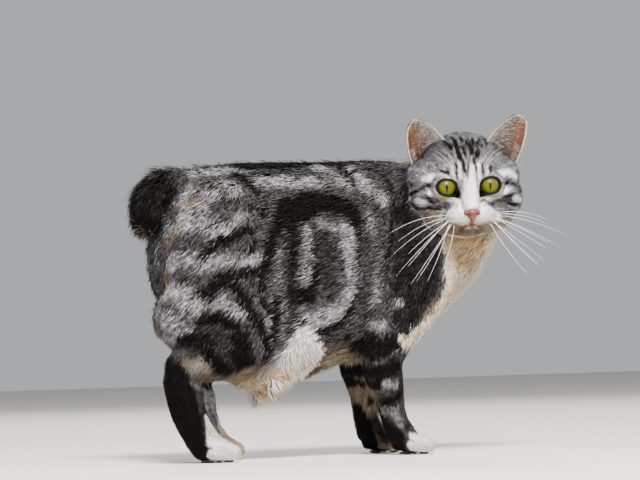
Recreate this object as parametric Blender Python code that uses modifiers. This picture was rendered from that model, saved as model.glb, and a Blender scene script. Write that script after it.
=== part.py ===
"""A Japanese bobtail cat that stands with its head turned to its right, at life size.

The cat faces +X, its left side is +Y, and the floor is z = 0. Sizes are in millimetres
and take in the coat. Each mass of the body is a loft or a ball; the masses are fused
into one body, which thin cuts then part into the pieces a person would name.
"""

import math
import random

import bmesh
import bpy
import numpy as np
from mathutils import Matrix, Vector

MM = 0.001
GAP = 0.3  # clearance between pieces that touch

BACK = 271.0  # height of the back over the floor
BELLY = 82.0  # height of the belly behind the elbows
GROIN = 60.0  # height of the loose fold of skin before the thighs
HALF_WIDTH = 58.0  # of the trunk at the loin
TRUNK_EGG = 0.22  # how much narrower the trunk is above than below its middle
FORE_TRACK = 35.0  # each fore foot's distance from the middle
HIND_TRACK = 36.0
# How far the left leg stands ahead of the right at each height
FORE_STEP = ((0, 3.5), (25, 4.0), (45, 8.0), (67, 13.0), (120, 12.0), (205, 0.0))
HIND_STEP = ((0, 35.0), (60, 44.0), (110, 30.0), (205, 0.0))

HEAD_CENTRE = (144.2, -48.0, 244.0)
HEAD_TURN = -110.0  # degrees from the cat's own forward direction
HEAD_NOD = 3.0
HEAD_ROLL = 1.5
EYE_RADIUS = 11.0
EYE_SIDES = 12
EYE_PLACE = (19.8, -1.0, 27.5)  # side, up and forward in the head's own frame
EYE_OPENING = (9.3, 7.8)
LID = 2.2  # thickness of the lids
EAR_THICK = 1.8

BODY_VOXEL = 3.2
HEAD_VOXEL = 1.9
PAW_VOXEL = 1.7
TAIL_VOXEL = 2.2
BODY_TRIANGLES = 3100
HEAD_TRIANGLES = 1750
LIMB_TRIANGLES = 240
FOOT_TRIANGLES = 320
TAIL_TRIANGLES = 240
LIMB_ALLOWANCE = 4.0  # how far outside a limb's own masses it is parted from the trunk
MIDLINE = 9.0  # how close to the middle of the cat a limb reaches
MELT = 1.0  # degrees between faces that become one
CREASE = 35.0  # degrees between faces that meet in a sharp edge
SIDES = 24
SMOOTH_STEPS = 3  # rings made between two stations of a loft

COLOURS = {
    "silver": (0.36, 0.35, 0.37),
    "charcoal": (0.05, 0.045, 0.04),
    "white": (0.82, 0.78, 0.72),
    "nose": (0.62, 0.17, 0.11),
    "ear": (0.55, 0.33, 0.24),
    "eye": (0.42, 0.45, 0.08),
}
# What each node's name starts with, where it isn't silver
NODE_COLOURS = {
    "eye": "eye",
    "nose": "nose",
    "ear": "ear",
    "muzzle": "white",
    "chin": "white",
    "hind_paw": "white",
    "fore_paw": "white",
    "tail": "charcoal",
}

# Trunk: x, top, bottom, half width
TRUNK = (
    (-114, BACK - 18, 122, 0.66 * HALF_WIDTH),
    (-92, BACK - 3, 86, 0.88 * HALF_WIDTH),
    (-66, BACK, GROIN + 5, 0.97 * HALF_WIDTH),
    (-36, BACK + 1, GROIN, HALF_WIDTH),
    (-4, BACK + 1, GROIN + 11, 1.02 * HALF_WIDTH),
    (35, BACK + 1, BELLY, HALF_WIDTH),
    (72, BACK + 2, BELLY + 9, 0.95 * HALF_WIDTH),
    (104, BACK - 2, BELLY + 21, 0.84 * HALF_WIDTH),
    (126, BACK - 22, BELLY + 40, 0.62 * HALF_WIDTH),
    (138, BACK - 50, BELLY + 60, 0.42 * HALF_WIDTH),
)

# Other masses: x, y, z, half width, half depth
NAPE = (
    (84, 0, 222, 40, 46),
    (108, -6, 227, 38, 43),
    (128, -20, 234, 37, 39),
    (140, -34, 240, 36, 36),
)
THROAT = (
    (116, 0, 146, 37, 34),
    (128, -2, 168, 41, 42),
    (142, -12, 190, 40, 42),
    (150, -28, 213, 38, 40),
)
THIGH = (
    (-88, 25, 234, 24, 36),
    (-97, 28, 196, 32, 44),
    (-98, 32, 156, 33, 46),
    (-86, 38, 124, 28, 36),
    (-78, 42, 104, 20, 25),
)
BREECH = ((-119, 33, 131), (38, 25, 36))
SHANK = (
    (-78, 45, 106, 20, 26),
    (-100, 43, 97, 18, 27),
    (-122, 40, 94, 16, 22),
    (-140, 38, 87, 13, 15),
)
HOCK = (
    (-146, 38, 90, 9, 8),
    (-140, 38, 76, 13, 16),
    (-134, 38, 60, 14.5, 18.5),
    (-130, 37.5, 45, 14.5, 18),
    (-122, 36.5, 28, 14.5, 16.5),
    (-112, 36, 14, 15, 16),
)
UPPER_ARM = (
    (86, 27, 228, 14, 26),
    (97, 33, 204, 19, 35),
    (102, 37, 172, 22, 38),
    (91, 40, 140, 21, 32),
    (71, 40, 112, 19, 25),
    (62, 38, 94, 18, 22),
)
FOREARM = (
    (61, 38, 96, 18, 22.5),
    (61, 37, 82, 17, 21.5),
    (63.5, 37, 70, 16.5, 19.5),
    (67.5, 36, 56, 15, 16.5),
    (70, 35.5, 43, 14, 14.2),
    (73.5, 35, 31, 14, 13.8),
    (79, 35, 20, 14.5, 15),
)
TAIL = (
    (-92, 0, 240, 15, 15),
    (-114, 0, 247, 15.5, 15),
    (-133, -2, 247, 15.5, 14),
    (-147, -4, 238, 15, 14),
    (-151, -5, 226, 14.5, 14),
    (-149, -5, 217, 12.5, 12),
)

# Foot: heel and toe tip from the middle of the foot, half width and height
FOOT = {"fore": (-16.0, 20.0, 15.5, 22.0), "hind": (-21.0, 19.0, 15.5, 23.0)}
FOOT_MIDDLE = {"fore": 93.0, "hind": -99.0}

# Head, in its own frame: side, up, forward, then the three radii
CRANIUM = ((0, 9, -6), (43, 41, 44))
HEAD_PAIRS = {
    "temple": ((27, 6, -4), (26, 24, 27)),
    "cheek": ((28, -12, 0), (27, 24, 28)),
    "jowl": ((20, -29, 6), (24, 16, 26)),
    "brow": ((15, 11, 18), (17, 14, 15)),
    "whisker_pad": ((11.5, -28.5, 36), (13.5, 10, 14.5)),
}
HEAD_SINGLES = {
    "jaw": ((0, -31, 8), (27, 16, 27)),
    "chin": ((0, -39, 34), (12, 7.5, 12)),
    "face": ((0, -12, 22), (25, 22, 20)),
}
NOSE_BRIDGE = ((0, 14, 26, 13, 11), (0, 0, 34, 11, 9), (0, -12, 41, 9, 9), (0, -22, 46, 9, 8))
NOSE_TOP = (0.0, -22.5)
NOSE_OUTLINE = ((7.2, -1), (6, 1.2), (0, 2), (-6, 1.2), (-7.2, -1), (-4.8, -5), (-2, -8.6), (0, -10),
                (2, -8.6), (4.8, -5))
NOSE_SLICES = ((40, 0.85), (50, 1.0), (54, 0.86), (55.5, 0.5))  # forward, scale
SNOUT = ((0, -33, 43), (28, 19, 26))
MOUTH_LINE = ((0, -35), (4, -37), (11, -37), (18, -34.5), (34, -31))

# Each ear: inner edge, back and outer edge of its root, then its tip; the right one is held closer in
EARS = {
    "left": ((18, 33, 15), (36, 18, -32), (50, 17, -2), (56, 60, -6)),
    "right": ((14, 34, 15), (31, 19, -32), (46, 18, -2), (42, 62, -6)),
}
EAR_TIP_RADIUS = 4.5
EAR_BULGE = 4.0
EAR_ROWS = 7
EAR_COLUMNS = 8

# A lock of long hair: share of its length from the root, share of its width
LOCK_SHAPE = ((-0.35, 0.7), (0.0, 1.0), (0.5, 0.85), (0.8, 0.5))
WHISKER_SHAPE = ((0.0, 1.0), (0.35, 0.85), (0.7, 0.6))
TAIL_LOCK = {"length": 16.0, "width": 12.0, "thick": 2.8, "lift": 0.4, "rows": 7, "around": 8, "room": 3.0}
BELLY_LOCK = {"length": 17.0, "width": 11.5, "thick": 2.6}
BELLY_LOCK_ROWS = ((-33, -36, 20), (-22, -44, 24), (-11, -44, 24), (0, -44, 24), (11, -36, 20))  # y, first x, last x
BELLY_LOCK_STEP = 14.0
WHISKERS = 8  # on each side of the muzzle
WHISKER_LENGTH = (50.0, 66.0)
WHISKER_FALL = {1: (10.0, -64.0), -1: (4.0, -80.0)}  # slope of the highest and of the lowest, by side
WHISKER_THICK = 0.34  # half of it, at the root


def clear_scene():
    for obj in list(bpy.data.objects):
        bpy.data.objects.remove(obj, do_unlink=True)


def collection(name):
    made = bpy.data.collections.new(name)
    bpy.context.scene.collection.children.link(made)
    return made


def material(name, colour):
    made = bpy.data.materials.new(name)
    made.use_nodes = True
    shader = made.node_tree.nodes["Principled BSDF"]
    shader.inputs["Base Color"].default_value = (*COLOURS[colour], 1)
    shader.inputs["Roughness"].default_value = 0.15 if colour == "eye" else 0.8
    made.diffuse_color = (*COLOURS[colour], 1)
    return made


def new_object(name, mesh):
    obj = bpy.data.objects.new(name, mesh)
    bpy.context.scene.collection.objects.link(obj)
    return obj


def from_bmesh(name, bm):
    bmesh.ops.recalc_face_normals(bm, faces=bm.faces)
    mesh = bpy.data.meshes.new(name)
    bm.to_mesh(mesh)
    bm.free()
    return new_object(name, mesh)


def through(stations, steps):
    """Rows on a smooth curve through the stations."""
    rows = [np.array(s, float) for s in stations]
    rows = [2 * rows[0] - rows[1], *rows, 2 * rows[-1] - rows[-2]]
    made = []
    for a, b, c, d in zip(rows, rows[1:], rows[2:], rows[3:]):
        for k in range(steps):
            t = k / steps
            made.append(
                0.5 * (2 * b + (c - a) * t + (2 * a - 5 * b + 4 * c - d) * t * t + (3 * b - a - 3 * c + d) * t**3)
            )
    return [*made, rows[-2]]


def loft(name, stations, side=(0, 1, 0), egg=0.0, facing=None):
    """A closed body through sections (x, y, z, half width, half depth), with round ends.

    The sections are ellipses, or narrower to one side of their depth by the share in egg.
    They stand across the line of their centres, or across the direction in facing.
    """
    rows = through(stations, SMOOTH_STEPS)
    centres = [Vector(r[:3]) for r in rows]
    along = [(b - a).normalized() for a, b in zip(centres, centres[1:])]
    along = [along[0], *[(a + b).normalized() for a, b in zip(along, along[1:])], along[-1]]
    if facing:
        along = [Vector(facing) for _ in rows]
    sections = [(c, t, r[3], r[4]) for c, t, r in zip(centres, along, rows)]
    for end, sign in ((0, -1), (-1, 1)):
        centre, tangent, wide, deep = sections[end]
        reach = 0.9 * min(wide, deep)
        caps = [
            (centre + tangent * sign * reach * math.sin(a), tangent, wide * math.cos(a), deep * math.cos(a))
            for a in (0.5, 0.95, 1.3)
        ]
        sections = [*reversed(caps), *sections] if sign < 0 else [*sections, *caps]
    bm = bmesh.new()
    rings = []
    for centre, tangent, wide, deep in sections:
        across = (Vector(side) - tangent * tangent.dot(Vector(side))).normalized()
        up = tangent.cross(across)
        ring = []
        for k in range(SIDES):
            turn = 2 * math.pi * k / SIDES
            out, rise = math.cos(turn) * (1 - egg * math.sin(turn)), math.sin(turn)
            ring.append(bm.verts.new(centre + across * wide * out + up * deep * rise))
        rings.append(ring)
    for one, two in zip(rings, rings[1:]):
        for k in range(SIDES):
            bm.faces.new((one[k], one[(k + 1) % SIDES], two[(k + 1) % SIDES], two[k]))
    for ring in (rings[0], rings[-1]):
        bm.faces.new(ring)
    bmesh.ops.scale(bm, vec=(MM, MM, MM), verts=bm.verts)
    return from_bmesh(name, bm)


def trunk():
    stations = [(x, 0, (top + low) / 2, wide, (top - low) / 2) for x, top, low, wide in TRUNK]
    return loft("trunk", stations, egg=TRUNK_EGG, facing=(1, 0, 0))


def ball(name, centre, radii, sides=16):
    bm = bmesh.new()
    place = Matrix.Translation(Vector(centre) * MM) @ Matrix.Diagonal((*(Vector(radii) * MM), 1))
    bmesh.ops.create_uvsphere(bm, u_segments=sides, v_segments=sides // 2 + 1, radius=1.0, matrix=place)
    return from_bmesh(name, bm)


def block(name, low, high):
    bm = bmesh.new()
    low, high = Vector(low) * MM, Vector(high) * MM
    place = Matrix.Translation((low + high) / 2) @ Matrix.Diagonal((*(high - low), 1))
    bmesh.ops.create_cube(bm, size=1.0, matrix=place)
    return from_bmesh(name, bm)


def applied(obj):
    """The object with its modifiers applied."""
    bpy.context.view_layer.update()
    graph = bpy.context.evaluated_depsgraph_get()
    mesh = bpy.data.meshes.new_from_object(obj.evaluated_get(graph))
    obj.modifiers.clear()
    obj.data = mesh
    return obj


def copied(obj, name):
    made = obj.copy()
    made.data = obj.data.copy()
    made.name = name
    bpy.context.scene.collection.objects.link(made)
    return made


def joined(name, pieces):
    bm = bmesh.new()
    for piece in pieces:
        mesh = piece.data.copy()
        mesh.transform(piece.matrix_world)
        bm.from_mesh(mesh)
        bpy.data.meshes.remove(mesh)
        bpy.data.objects.remove(piece)
    mesh = bpy.data.meshes.new(name)
    bm.to_mesh(mesh)
    bm.free()
    return new_object(name, mesh)


def fused(name, pieces, voxel, rounds, triangles=None):
    """One closed skin round all the pieces, eased where they meet."""
    obj = joined(name, pieces)
    remesh = obj.modifiers.new("skin", "REMESH")
    remesh.mode = "VOXEL"
    remesh.voxel_size = voxel * MM
    ease = obj.modifiers.new("ease", "SMOOTH")
    ease.factor = 0.5
    ease.iterations = rounds
    applied(obj)
    if triangles:
        thin = obj.modifiers.new("thin", "DECIMATE")
        thin.ratio = triangles / (2 * len(obj.data.polygons))
        applied(obj)
    return obj


def grown(obj, by, name="grown"):
    """A copy whose surface lies further out."""
    made = copied(obj, name)
    mesh = made.data
    normals = np.array([v.normal for v in mesh.vertices])
    points = np.array([v.co for v in mesh.vertices]) + normals * by * MM
    mesh.vertices.foreach_set("co", points.astype(np.float32).ravel())
    mesh.update()
    return made


def largest(obj):
    """Keeps the object's largest closed surface."""
    bm = bmesh.new()
    bm.from_mesh(obj.data)
    unseen = set(bm.verts)
    shells = []
    while unseen:
        edge = [unseen.pop()]
        shell = set(edge)
        while edge:
            for link in edge.pop().link_edges:
                for vert in link.verts:
                    if vert in unseen:
                        unseen.discard(vert)
                        shell.add(vert)
                        edge.append(vert)
        shells.append(shell)
    shells.sort(key=len)
    for shell in shells[:-1]:
        bmesh.ops.delete(bm, geom=list(shell), context="VERTS")
    bm.to_mesh(obj.data)
    bm.free()
    return obj


def cut(obj, cutter, operation="DIFFERENCE", spent=True):
    step = obj.modifiers.new("cut", "BOOLEAN")
    step.operation = operation
    step.solver = "EXACT"
    step.object = cutter
    applied(obj)
    if spent:
        bpy.data.objects.remove(cutter)
    return largest(obj)


def half_space(point, normal, gap):
    """A large block on the side of a plane that its normal points to."""
    reach = 500.0
    made = block("half", (-reach, -reach, gap), (reach, reach, 2 * reach))
    turn = Vector(normal).to_track_quat("Z", "Y").to_matrix().to_4x4()
    made.data.transform(Matrix.Translation(Vector(point) * MM) @ turn)
    return made


def split(obj, point, normal, name):
    """Parts an object by a plane: it keeps the side behind, and the side in front is returned."""
    front = copied(obj, name)
    cut(front, half_space(point, normal, GAP / 2), "INTERSECT")
    cut(obj, half_space(point, -Vector(normal), GAP / 2), "INTERSECT")
    return front


def taken(body, masses, side, name):
    """The part of the body that lies within a limb's own masses, with the body cut clear of it."""
    mass = fused("limb", masses, BODY_VOXEL, 3, LIMB_TRIANGLES)
    cut(mass, half_space((0, side * MIDLINE, 0), (0, side, 0), 0), "INTERSECT")
    limb = copied(body, name)
    cut(body, grown(mass, GAP))
    cut(limb, mass, "INTERSECT")
    return limb


def ahead(steps, side, z):
    """How far forward a leg stands at a height: only the left one does."""
    return float(np.interp(z, *zip(*steps))) if side > 0 else 0.0


def stride(stations, side, steps, by=0.0):
    """A leg's stations on one side, made thicker."""
    return [(x + ahead(steps, side, z), side * y, z, wide + by, deep + by) for x, y, z, wide, deep in stations]


def hind_masses(side, by=0.0):
    (x, y, z), radii = BREECH
    pieces = [loft("hind", stride(part, side, HIND_STEP, by)) for part in (THIGH, SHANK, HOCK)]
    return [*pieces, ball("breech", (x + ahead(HIND_STEP, side, z), side * y, z), [r + by for r in radii])]


def fore_masses(side, by=0.0):
    return [loft("fore", stride(part, side, FORE_STEP, by)) for part in (UPPER_ARM, FOREARM)]


def foot(kind, side):
    """Palm and four toes, with the last of the leg, flat below."""
    heel, tip, wide, high = FOOT[kind]
    steps = FORE_STEP if kind == "fore" else HIND_STEP
    x = FOOT_MIDDLE[kind] + ahead(steps, side, 0)
    y = side * (FORE_TRACK if kind == "fore" else HIND_TRACK)
    toe = 0.5 * wide
    pieces = [ball("palm", (x + (heel + tip) / 2 - 4, y, 0.48 * high), ((tip - heel) / 2 - 2, wide - 1.5, 0.56 * high))]
    for k in (-1.5, -0.5, 0.5, 1.5):
        lead = tip - toe - (4.0 if abs(k) > 1 else 0.0)
        across = y + k * 0.56 * wide
        row = [(x + lead - 20, across, 0.5 * high, toe, 0.42 * high), (x + lead, across, 0.36 * high, toe, 0.37 * high)]
        pieces.append(loft("toe", row))
    last = (FOREARM if kind == "fore" else HOCK)[-3:]
    pieces.append(loft("ankle", stride(last, side, steps)))
    made = fused("foot", pieces, PAW_VOXEL, 3, FOOT_TRIANGLES)
    cut(made, half_space((0, 0, 0), (0, 0, 1), 0), "INTERSECT")
    return made


def spike(root, way, out, length, width, thick, bend, shape, sides=4):
    """A flat tapered form that grows from a point along its way and bends: a lock or a whisker."""
    across = way.cross(out).normalized()
    bm = bmesh.new()
    rings = []
    for along, wide in shape:
        centre = root + way * length * along + bend * length * along * abs(along)
        turns = [2 * math.pi * k / sides for k in range(sides)]
        ring = [across * width / 2 * wide * math.cos(a) + out * thick / 2 * wide * math.sin(a) for a in turns]
        rings.append([bm.verts.new((centre + p) * MM) for p in ring])
    for one, two in zip(rings, rings[1:]):
        for k in range(sides):
            bm.faces.new((one[k], one[(k + 1) % sides], two[(k + 1) % sides], two[k]))
    bm.faces.new(rings[0])
    tip = bm.verts.new((root + way * length + bend * length) * MM)
    for k in range(sides):
        bm.faces.new((rings[-1][k], rings[-1][(k + 1) % sides], tip))
    return from_bmesh("spike", bm)


def with_spikes(obj, spikes):
    """The object with the spikes fused to it."""
    bunch = collection("spikes")
    for piece in spikes:
        for old in piece.users_collection:
            old.objects.unlink(piece)
        bunch.objects.link(piece)
    step = obj.modifiers.new("spikes", "BOOLEAN")
    step.operation = "UNION"
    step.solver = "EXACT"
    step.operand_type = "COLLECTION"
    step.collection = bunch
    applied(obj)
    for piece in list(bunch.objects):
        bpy.data.objects.remove(piece)
    bpy.data.collections.remove(bunch)
    return largest(obj)


def surface(obj, start, way):
    """Where a line meets the object, in millimetres, and which way the surface faces there."""
    hit, place, normal, _ = obj.ray_cast(Vector(start) * MM, Vector(way))
    return (place / MM, normal) if hit else (None, None)


def clear_of(obj, points, margin):
    """Whether all the points lie outside the object, at least so far from it."""
    for point in points:
        _, near, normal, _ = obj.closest_point_on_mesh(point * MM)
        if (point * MM - near).dot(normal) < margin * MM:
            return False
    return True


def tail_locks(tail, rump, draw):
    """Overlapping locks down the tail and round its tip, left out where the rump is in their way."""
    size = TAIL_LOCK
    rows = through(TAIL, size["rows"])[4:]
    rows = rows[:: max(1, len(rows) // size["rows"])]
    made = []
    for j, (here, after) in enumerate(zip(rows, [*rows[1:], 2 * rows[-1] - rows[-2]])):
        centre = Vector(here[:3])
        along = (Vector(after[:3]) - centre).normalized()
        side = (Vector((0, 1, 0)) - along * along.y).normalized()
        up = along.cross(side)
        for k in range(size["around"]):
            turn = 2 * math.pi * (k + 0.5 * (j % 2)) / size["around"] + draw.uniform(-0.15, 0.15)
            out = side * math.cos(turn) + up * math.sin(turn)
            place, _ = surface(tail, centre + out * 40, -out)
            if place is None:
                continue
            way = (along + out * size["lift"] * draw.uniform(0.8, 1.2)).normalized()
            face = (out - way * way.dot(out)).normalized()
            length = size["length"] * draw.uniform(0.85, 1.15)
            if clear_of(rump, [place + way * length * share for share in (0.1, 0.4, 0.7, 1.0)], size["room"]):
                made.append(spike(place - out * 1.5, way, face, length, size["width"], size["thick"],
                                  -out * 0.12, LOCK_SHAPE))
    return made


def belly_locks(belly, draw):
    """The loose fringe of the fold of skin before the thighs."""
    size = BELLY_LOCK
    made = []
    for row, (y, first, last) in enumerate(BELLY_LOCK_ROWS):
        for x in np.arange(first + 5 * (row % 2), last, BELLY_LOCK_STEP):
            place, normal = surface(belly, (x, y, 0), (0, 0, 1))
            if place is None:
                continue
            way = Vector((-0.8, draw.uniform(-0.15, 0.15), -0.5 + draw.uniform(-0.1, 0.1))).normalized()
            face = (normal - way * way.dot(normal)).normalized()
            length = size["length"] * draw.uniform(0.85, 1.15)
            made.append(spike(place - normal * 1.5, way, face, length, size["width"], size["thick"],
                              Vector((0, 0, -0.12)), LOCK_SHAPE))
    return made


def whiskers(side, draw):
    """Long stiff hairs in a fan on one side of the upper lip, in the head's frame."""
    made = []
    (x, y, z), _ = HEAD_PAIRS["whisker_pad"]
    high, low = WHISKER_FALL[side]
    for k in range(WHISKERS):
        share = k / (WHISKERS - 1)
        fall = math.radians(high + (low - high) * share + draw.uniform(-3, 3))
        forward = 0.2 + 0.15 * (k % 2) + 0.25 * share
        way = Vector((side * math.cos(fall), math.sin(fall), forward)).normalized()
        root = Vector((side * (x + 6), y + 1 - 4 * share, z + 5 + 4 * share - 4 * (k % 3) * (1 - share)))
        face = Vector((0, 0, 1)) - way * way.z
        bend = Vector((side * 0.12 * share, -0.3 * (1 - share), 0))
        made.append(spike(root, way, face.normalized(), draw.uniform(*WHISKER_LENGTH), 2 * WHISKER_THICK,
                          2 * WHISKER_THICK, bend, WHISKER_SHAPE, 3))
    return made


def head_frame():
    turn = Matrix.Rotation(math.radians(HEAD_TURN + 90), 4, "Z") @ Matrix.Rotation(math.radians(90), 4, "X")
    nod = Matrix.Rotation(math.radians(HEAD_NOD), 4, "X")
    roll = Matrix.Rotation(math.radians(HEAD_ROLL), 4, "Z")
    return Matrix.Translation(Vector(HEAD_CENTRE) * MM) @ turn @ nod @ roll


def mirrored(point, side):
    return (side * point[0], point[1], point[2])


def head_mass():
    pieces = [ball("cranium", *CRANIUM)]
    pieces += [ball(name, *place) for name, place in HEAD_SINGLES.items()]
    for side in (-1, 1):
        pieces += [ball(n, mirrored(c, side), r) for n, (c, r) in HEAD_PAIRS.items()]
        lid = EYE_RADIUS + GAP + LID
        pieces.append(ball("lids", mirrored(EYE_PLACE, side), (lid, lid, lid)))
    pieces.append(loft("bridge", NOSE_BRIDGE, side=(1, 0, 0)))
    return fused("head", pieces, HEAD_VOXEL, 4, HEAD_TRIANGLES)


def eye_opening(side):
    """A short elliptical bar before the eye, which parts the lids."""
    wide, high = EYE_OPENING
    bm = bmesh.new()
    place = Matrix.Translation(Vector(mirrored(EYE_PLACE, side)) * MM + Vector((0, 0, 13 * MM)))
    slant = Matrix.Rotation(math.radians(8 * side), 4, "Z")
    size = Matrix.Diagonal((wide * MM, high * MM, 22 * MM, 1))
    bmesh.ops.create_cone(
        bm, cap_ends=True, segments=28, radius1=1, radius2=1, depth=1, matrix=place @ slant @ size
    )
    return from_bmesh("opening", bm)


def eyeball(name, side, radius):
    return ball(name, mirrored(EYE_PLACE, side), (radius, radius, radius), EYE_SIDES)


def nose_pad(grow=0.0):
    """The nose leather: a rounded wedge that narrows forward."""
    bm = bmesh.new()
    rings = []
    for forward, scale in NOSE_SLICES:
        ring = []
        for across, up in NOSE_OUTLINE:
            out = Vector((across, up + 4)).normalized() * grow
            x, y = across * scale + out.x, (up + 4) * scale - 4 + out.y
            front = forward + (grow if forward > 41 else 0)
            ring.append(bm.verts.new(Vector((NOSE_TOP[0] + x, NOSE_TOP[1] + y, front)) * MM))
        rings.append(ring)
    count = len(NOSE_OUTLINE)
    for one, two in zip(rings, rings[1:]):
        for k in range(count):
            bm.faces.new((one[k], one[(k + 1) % count], two[(k + 1) % count], two[k]))
    bm.faces.new(rings[0])
    bm.faces.new(rings[-1])
    return from_bmesh("nose", bm)


def between(a, b, c, t):
    """A point on the curve from a to c that b draws towards itself."""
    return a * (1 - t) ** 2 + b * 2 * t * (1 - t) + c * t * t


def ear(name, side, head):
    """A cupped ear, open to the front, its root cut to lie on the head."""
    inner, back, outer, tip = [Vector(mirrored(p, side)) for p in EARS["left" if side > 0 else "right"]]
    spread = Vector((side * EAR_TIP_RADIUS, -0.5 * EAR_TIP_RADIUS, 0))
    bm = bmesh.new()
    rows = []
    for j in range(EAR_ROWS):
        v = j / (EAR_ROWS - 1)
        row = []
        for k in range(EAR_COLUMNS):
            t = k / (EAR_COLUMNS - 1)
            root = between(inner, back, outer, t)
            top = tip + spread * (2 * t - 1) + Vector((0, 3.0 * math.sin(math.pi * t), -2.5 * math.sin(math.pi * t)))
            point = root.lerp(top, v)
            away = Vector((side * (2 * t - 1.15), 0.35, 0))
            point += away * EAR_BULGE * math.sin(math.pi * v) ** 0.8
            row.append(bm.verts.new(point * MM))
        rows.append(row)
    for one, two in zip(rows, rows[1:]):
        for k in range(EAR_COLUMNS - 1):
            bm.faces.new((one[k], one[k + 1], two[k + 1], two[k]))
    if side < 0:
        bmesh.ops.reverse_faces(bm, faces=bm.faces)
    mesh = bpy.data.meshes.new(name)
    bm.to_mesh(mesh)
    bm.free()
    obj = new_object(name, mesh)
    shell = obj.modifiers.new("shell", "SOLIDIFY")
    shell.thickness = EAR_THICK * MM
    shell.offset = 0
    applied(obj)
    return cut(obj, grown(head, GAP))


def head_pieces():
    head = head_mass()
    made = {"ear_left": ear("ear_left", 1, head), "ear_right": ear("ear_right", -1, head)}
    envelope = copied(head, "envelope")
    for side, word in ((1, "left"), (-1, "right")):
        cut(head, eye_opening(side))
        cut(head, eyeball("socket", side, EYE_RADIUS + GAP))
        made[f"eye_{word}"] = eyeball(f"eye_{word}", side, EYE_RADIUS)
    snout = copied(head, "snout")
    place, radii = SNOUT
    cut(snout, ball("snout", place, radii), "INTERSECT")
    cut(head, ball("snout", place, [r + GAP for r in radii]))
    made["head"] = head
    made["muzzle"], made["chin"] = lips(snout)
    nose = nose_pad()
    for side in (-1, 1):
        cut(nose, ball("nostril", (side * 4.4, NOSE_TOP[1] - 2.6, 55), (2.2, 1.4, 3.0), 8))
    made["nose"] = nose
    cut(made["muzzle"], nose_pad(GAP))
    draw = random.Random(5)
    made["muzzle"] = with_spikes(made["muzzle"], whiskers(-1, draw) + whiskers(1, draw))
    cut(made["head"], nose_pad(GAP))
    return made, envelope


def lips(snout):
    """The upper lips and the chin, on either side of the line of the mouth."""
    halves = []
    for low, high in ((-90, None), (None, 90)):
        half = copied(snout, "lip")
        cut(half, mouth_side(low, high), "INTERSECT")
        halves.append(half)
    bpy.data.objects.remove(snout)
    chin, muzzle = halves
    return muzzle, chin


def mouth_side(low, high):
    """Everything under or over the line of the mouth, clear of it by half a gap."""
    line = [(-x, y) for x, y in reversed(MOUTH_LINE[1:])] + list(MOUTH_LINE)
    edge = -GAP if high is None else GAP
    bm = bmesh.new()
    rows = []
    for x, y in line:
        ends = (low, y + edge) if high is None else (y + edge, high)
        rows.append([
            bm.verts.new(Vector((x * 1.2, up, z)) * MM)
            for up, z in ((ends[0], 5), (ends[1], 5), (ends[1], 90), (ends[0], 90))
        ])
    for one, two in zip(rows, rows[1:]):
        for k in range(4):
            bm.faces.new((one[k], one[(k + 1) % 4], two[(k + 1) % 4], two[k]))
    bm.faces.new(rows[0])
    bm.faces.new(rows[-1])
    return from_bmesh("mouth_side", bm)


def whole_body():
    pieces = [trunk(), loft("nape", NAPE), loft("throat", THROAT)]
    for side in (-1, 1):
        pieces += hind_masses(side) + fore_masses(side)
    return fused("body", pieces, BODY_VOXEL, 7, BODY_TRIANGLES)


def build():
    clear_scene()
    cat = collection("bobtail_cat")
    body = whole_body()
    nodes, envelope = head_pieces()
    frame = head_frame()
    for piece in [*nodes.values(), envelope]:
        piece.data.transform(frame)
    cut(body, grown(envelope, GAP))
    bpy.data.objects.remove(envelope)

    tail = fused("tail", [loft("tail", TAIL)], TAIL_VOXEL, 3, TAIL_TRIANGLES)
    cut(body, grown(tail, GAP))
    nodes["tail"] = tail

    for side, word in ((1, "left"), (-1, "right")):
        leg = taken(body, hind_masses(side, LIMB_ALLOWANCE), side, f"thigh_{word}")
        nodes[f"thigh_{word}"] = leg
        shank = split(leg, (-92 + ahead(HIND_STEP, side, 98), 0, 98), (-0.35, 0, -1), f"shank_{word}")
        nodes[f"shank_{word}"] = shank
        hock = split(shank, (-134 + ahead(HIND_STEP, side, 68), 0, 70), (-0.3, 0, -1), f"hock_{word}")
        nodes[f"hock_{word}"] = hock
        paw = foot("hind", side)
        ankle = ((-118 + ahead(HIND_STEP, side, 20), 0, 22), (0.35, 0, -1))
        cut(paw, half_space(*ankle, GAP / 2), "INTERSECT")
        cut(hock, half_space(ankle[0], -Vector(ankle[1]), GAP / 2), "INTERSECT")
        nodes[f"hind_paw_{word}"] = paw

        arm = taken(body, fore_masses(side, LIMB_ALLOWANCE), side, f"upper_arm_{word}")
        nodes[f"upper_arm_{word}"] = arm
        forearm = split(arm, (64, 0, 92), (0, 0, -1), f"forearm_{word}")
        nodes[f"forearm_{word}"] = forearm
        paw = foot("fore", side)
        wrist = ((76 + ahead(FORE_STEP, side, 20), 0, 21), (0.3, 0, -1))
        cut(paw, half_space(*wrist, GAP / 2), "INTERSECT")
        cut(forearm, half_space(wrist[0], -Vector(wrist[1]), GAP / 2), "INTERSECT")
        nodes[f"fore_paw_{word}"] = paw

    nodes["neck"] = split(body, (112, 0, 215), (0.84, -0.05, 0.54), "neck")
    nodes["chest"] = split(body, (42, 0, 180), (1, 0, 0), "chest")
    nodes["belly"] = split(body, (-52, 0, 180), (1, 0, 0), "belly")
    nodes["rump"] = body

    for obj in nodes.values():
        eased(obj, MELT)
    draw = random.Random(11)
    with_spikes(nodes["tail"], tail_locks(nodes["tail"], nodes["rump"], draw))
    with_spikes(nodes["belly"], belly_locks(nodes["belly"], draw))

    dress(nodes, cat)


def eased(obj, angle):
    """Melts faces that lie almost in one plane."""
    melt = obj.modifiers.new("melt", "DECIMATE")
    melt.decimate_type = "DISSOLVE"
    melt.angle_limit = math.radians(angle)
    return applied(obj)


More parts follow.
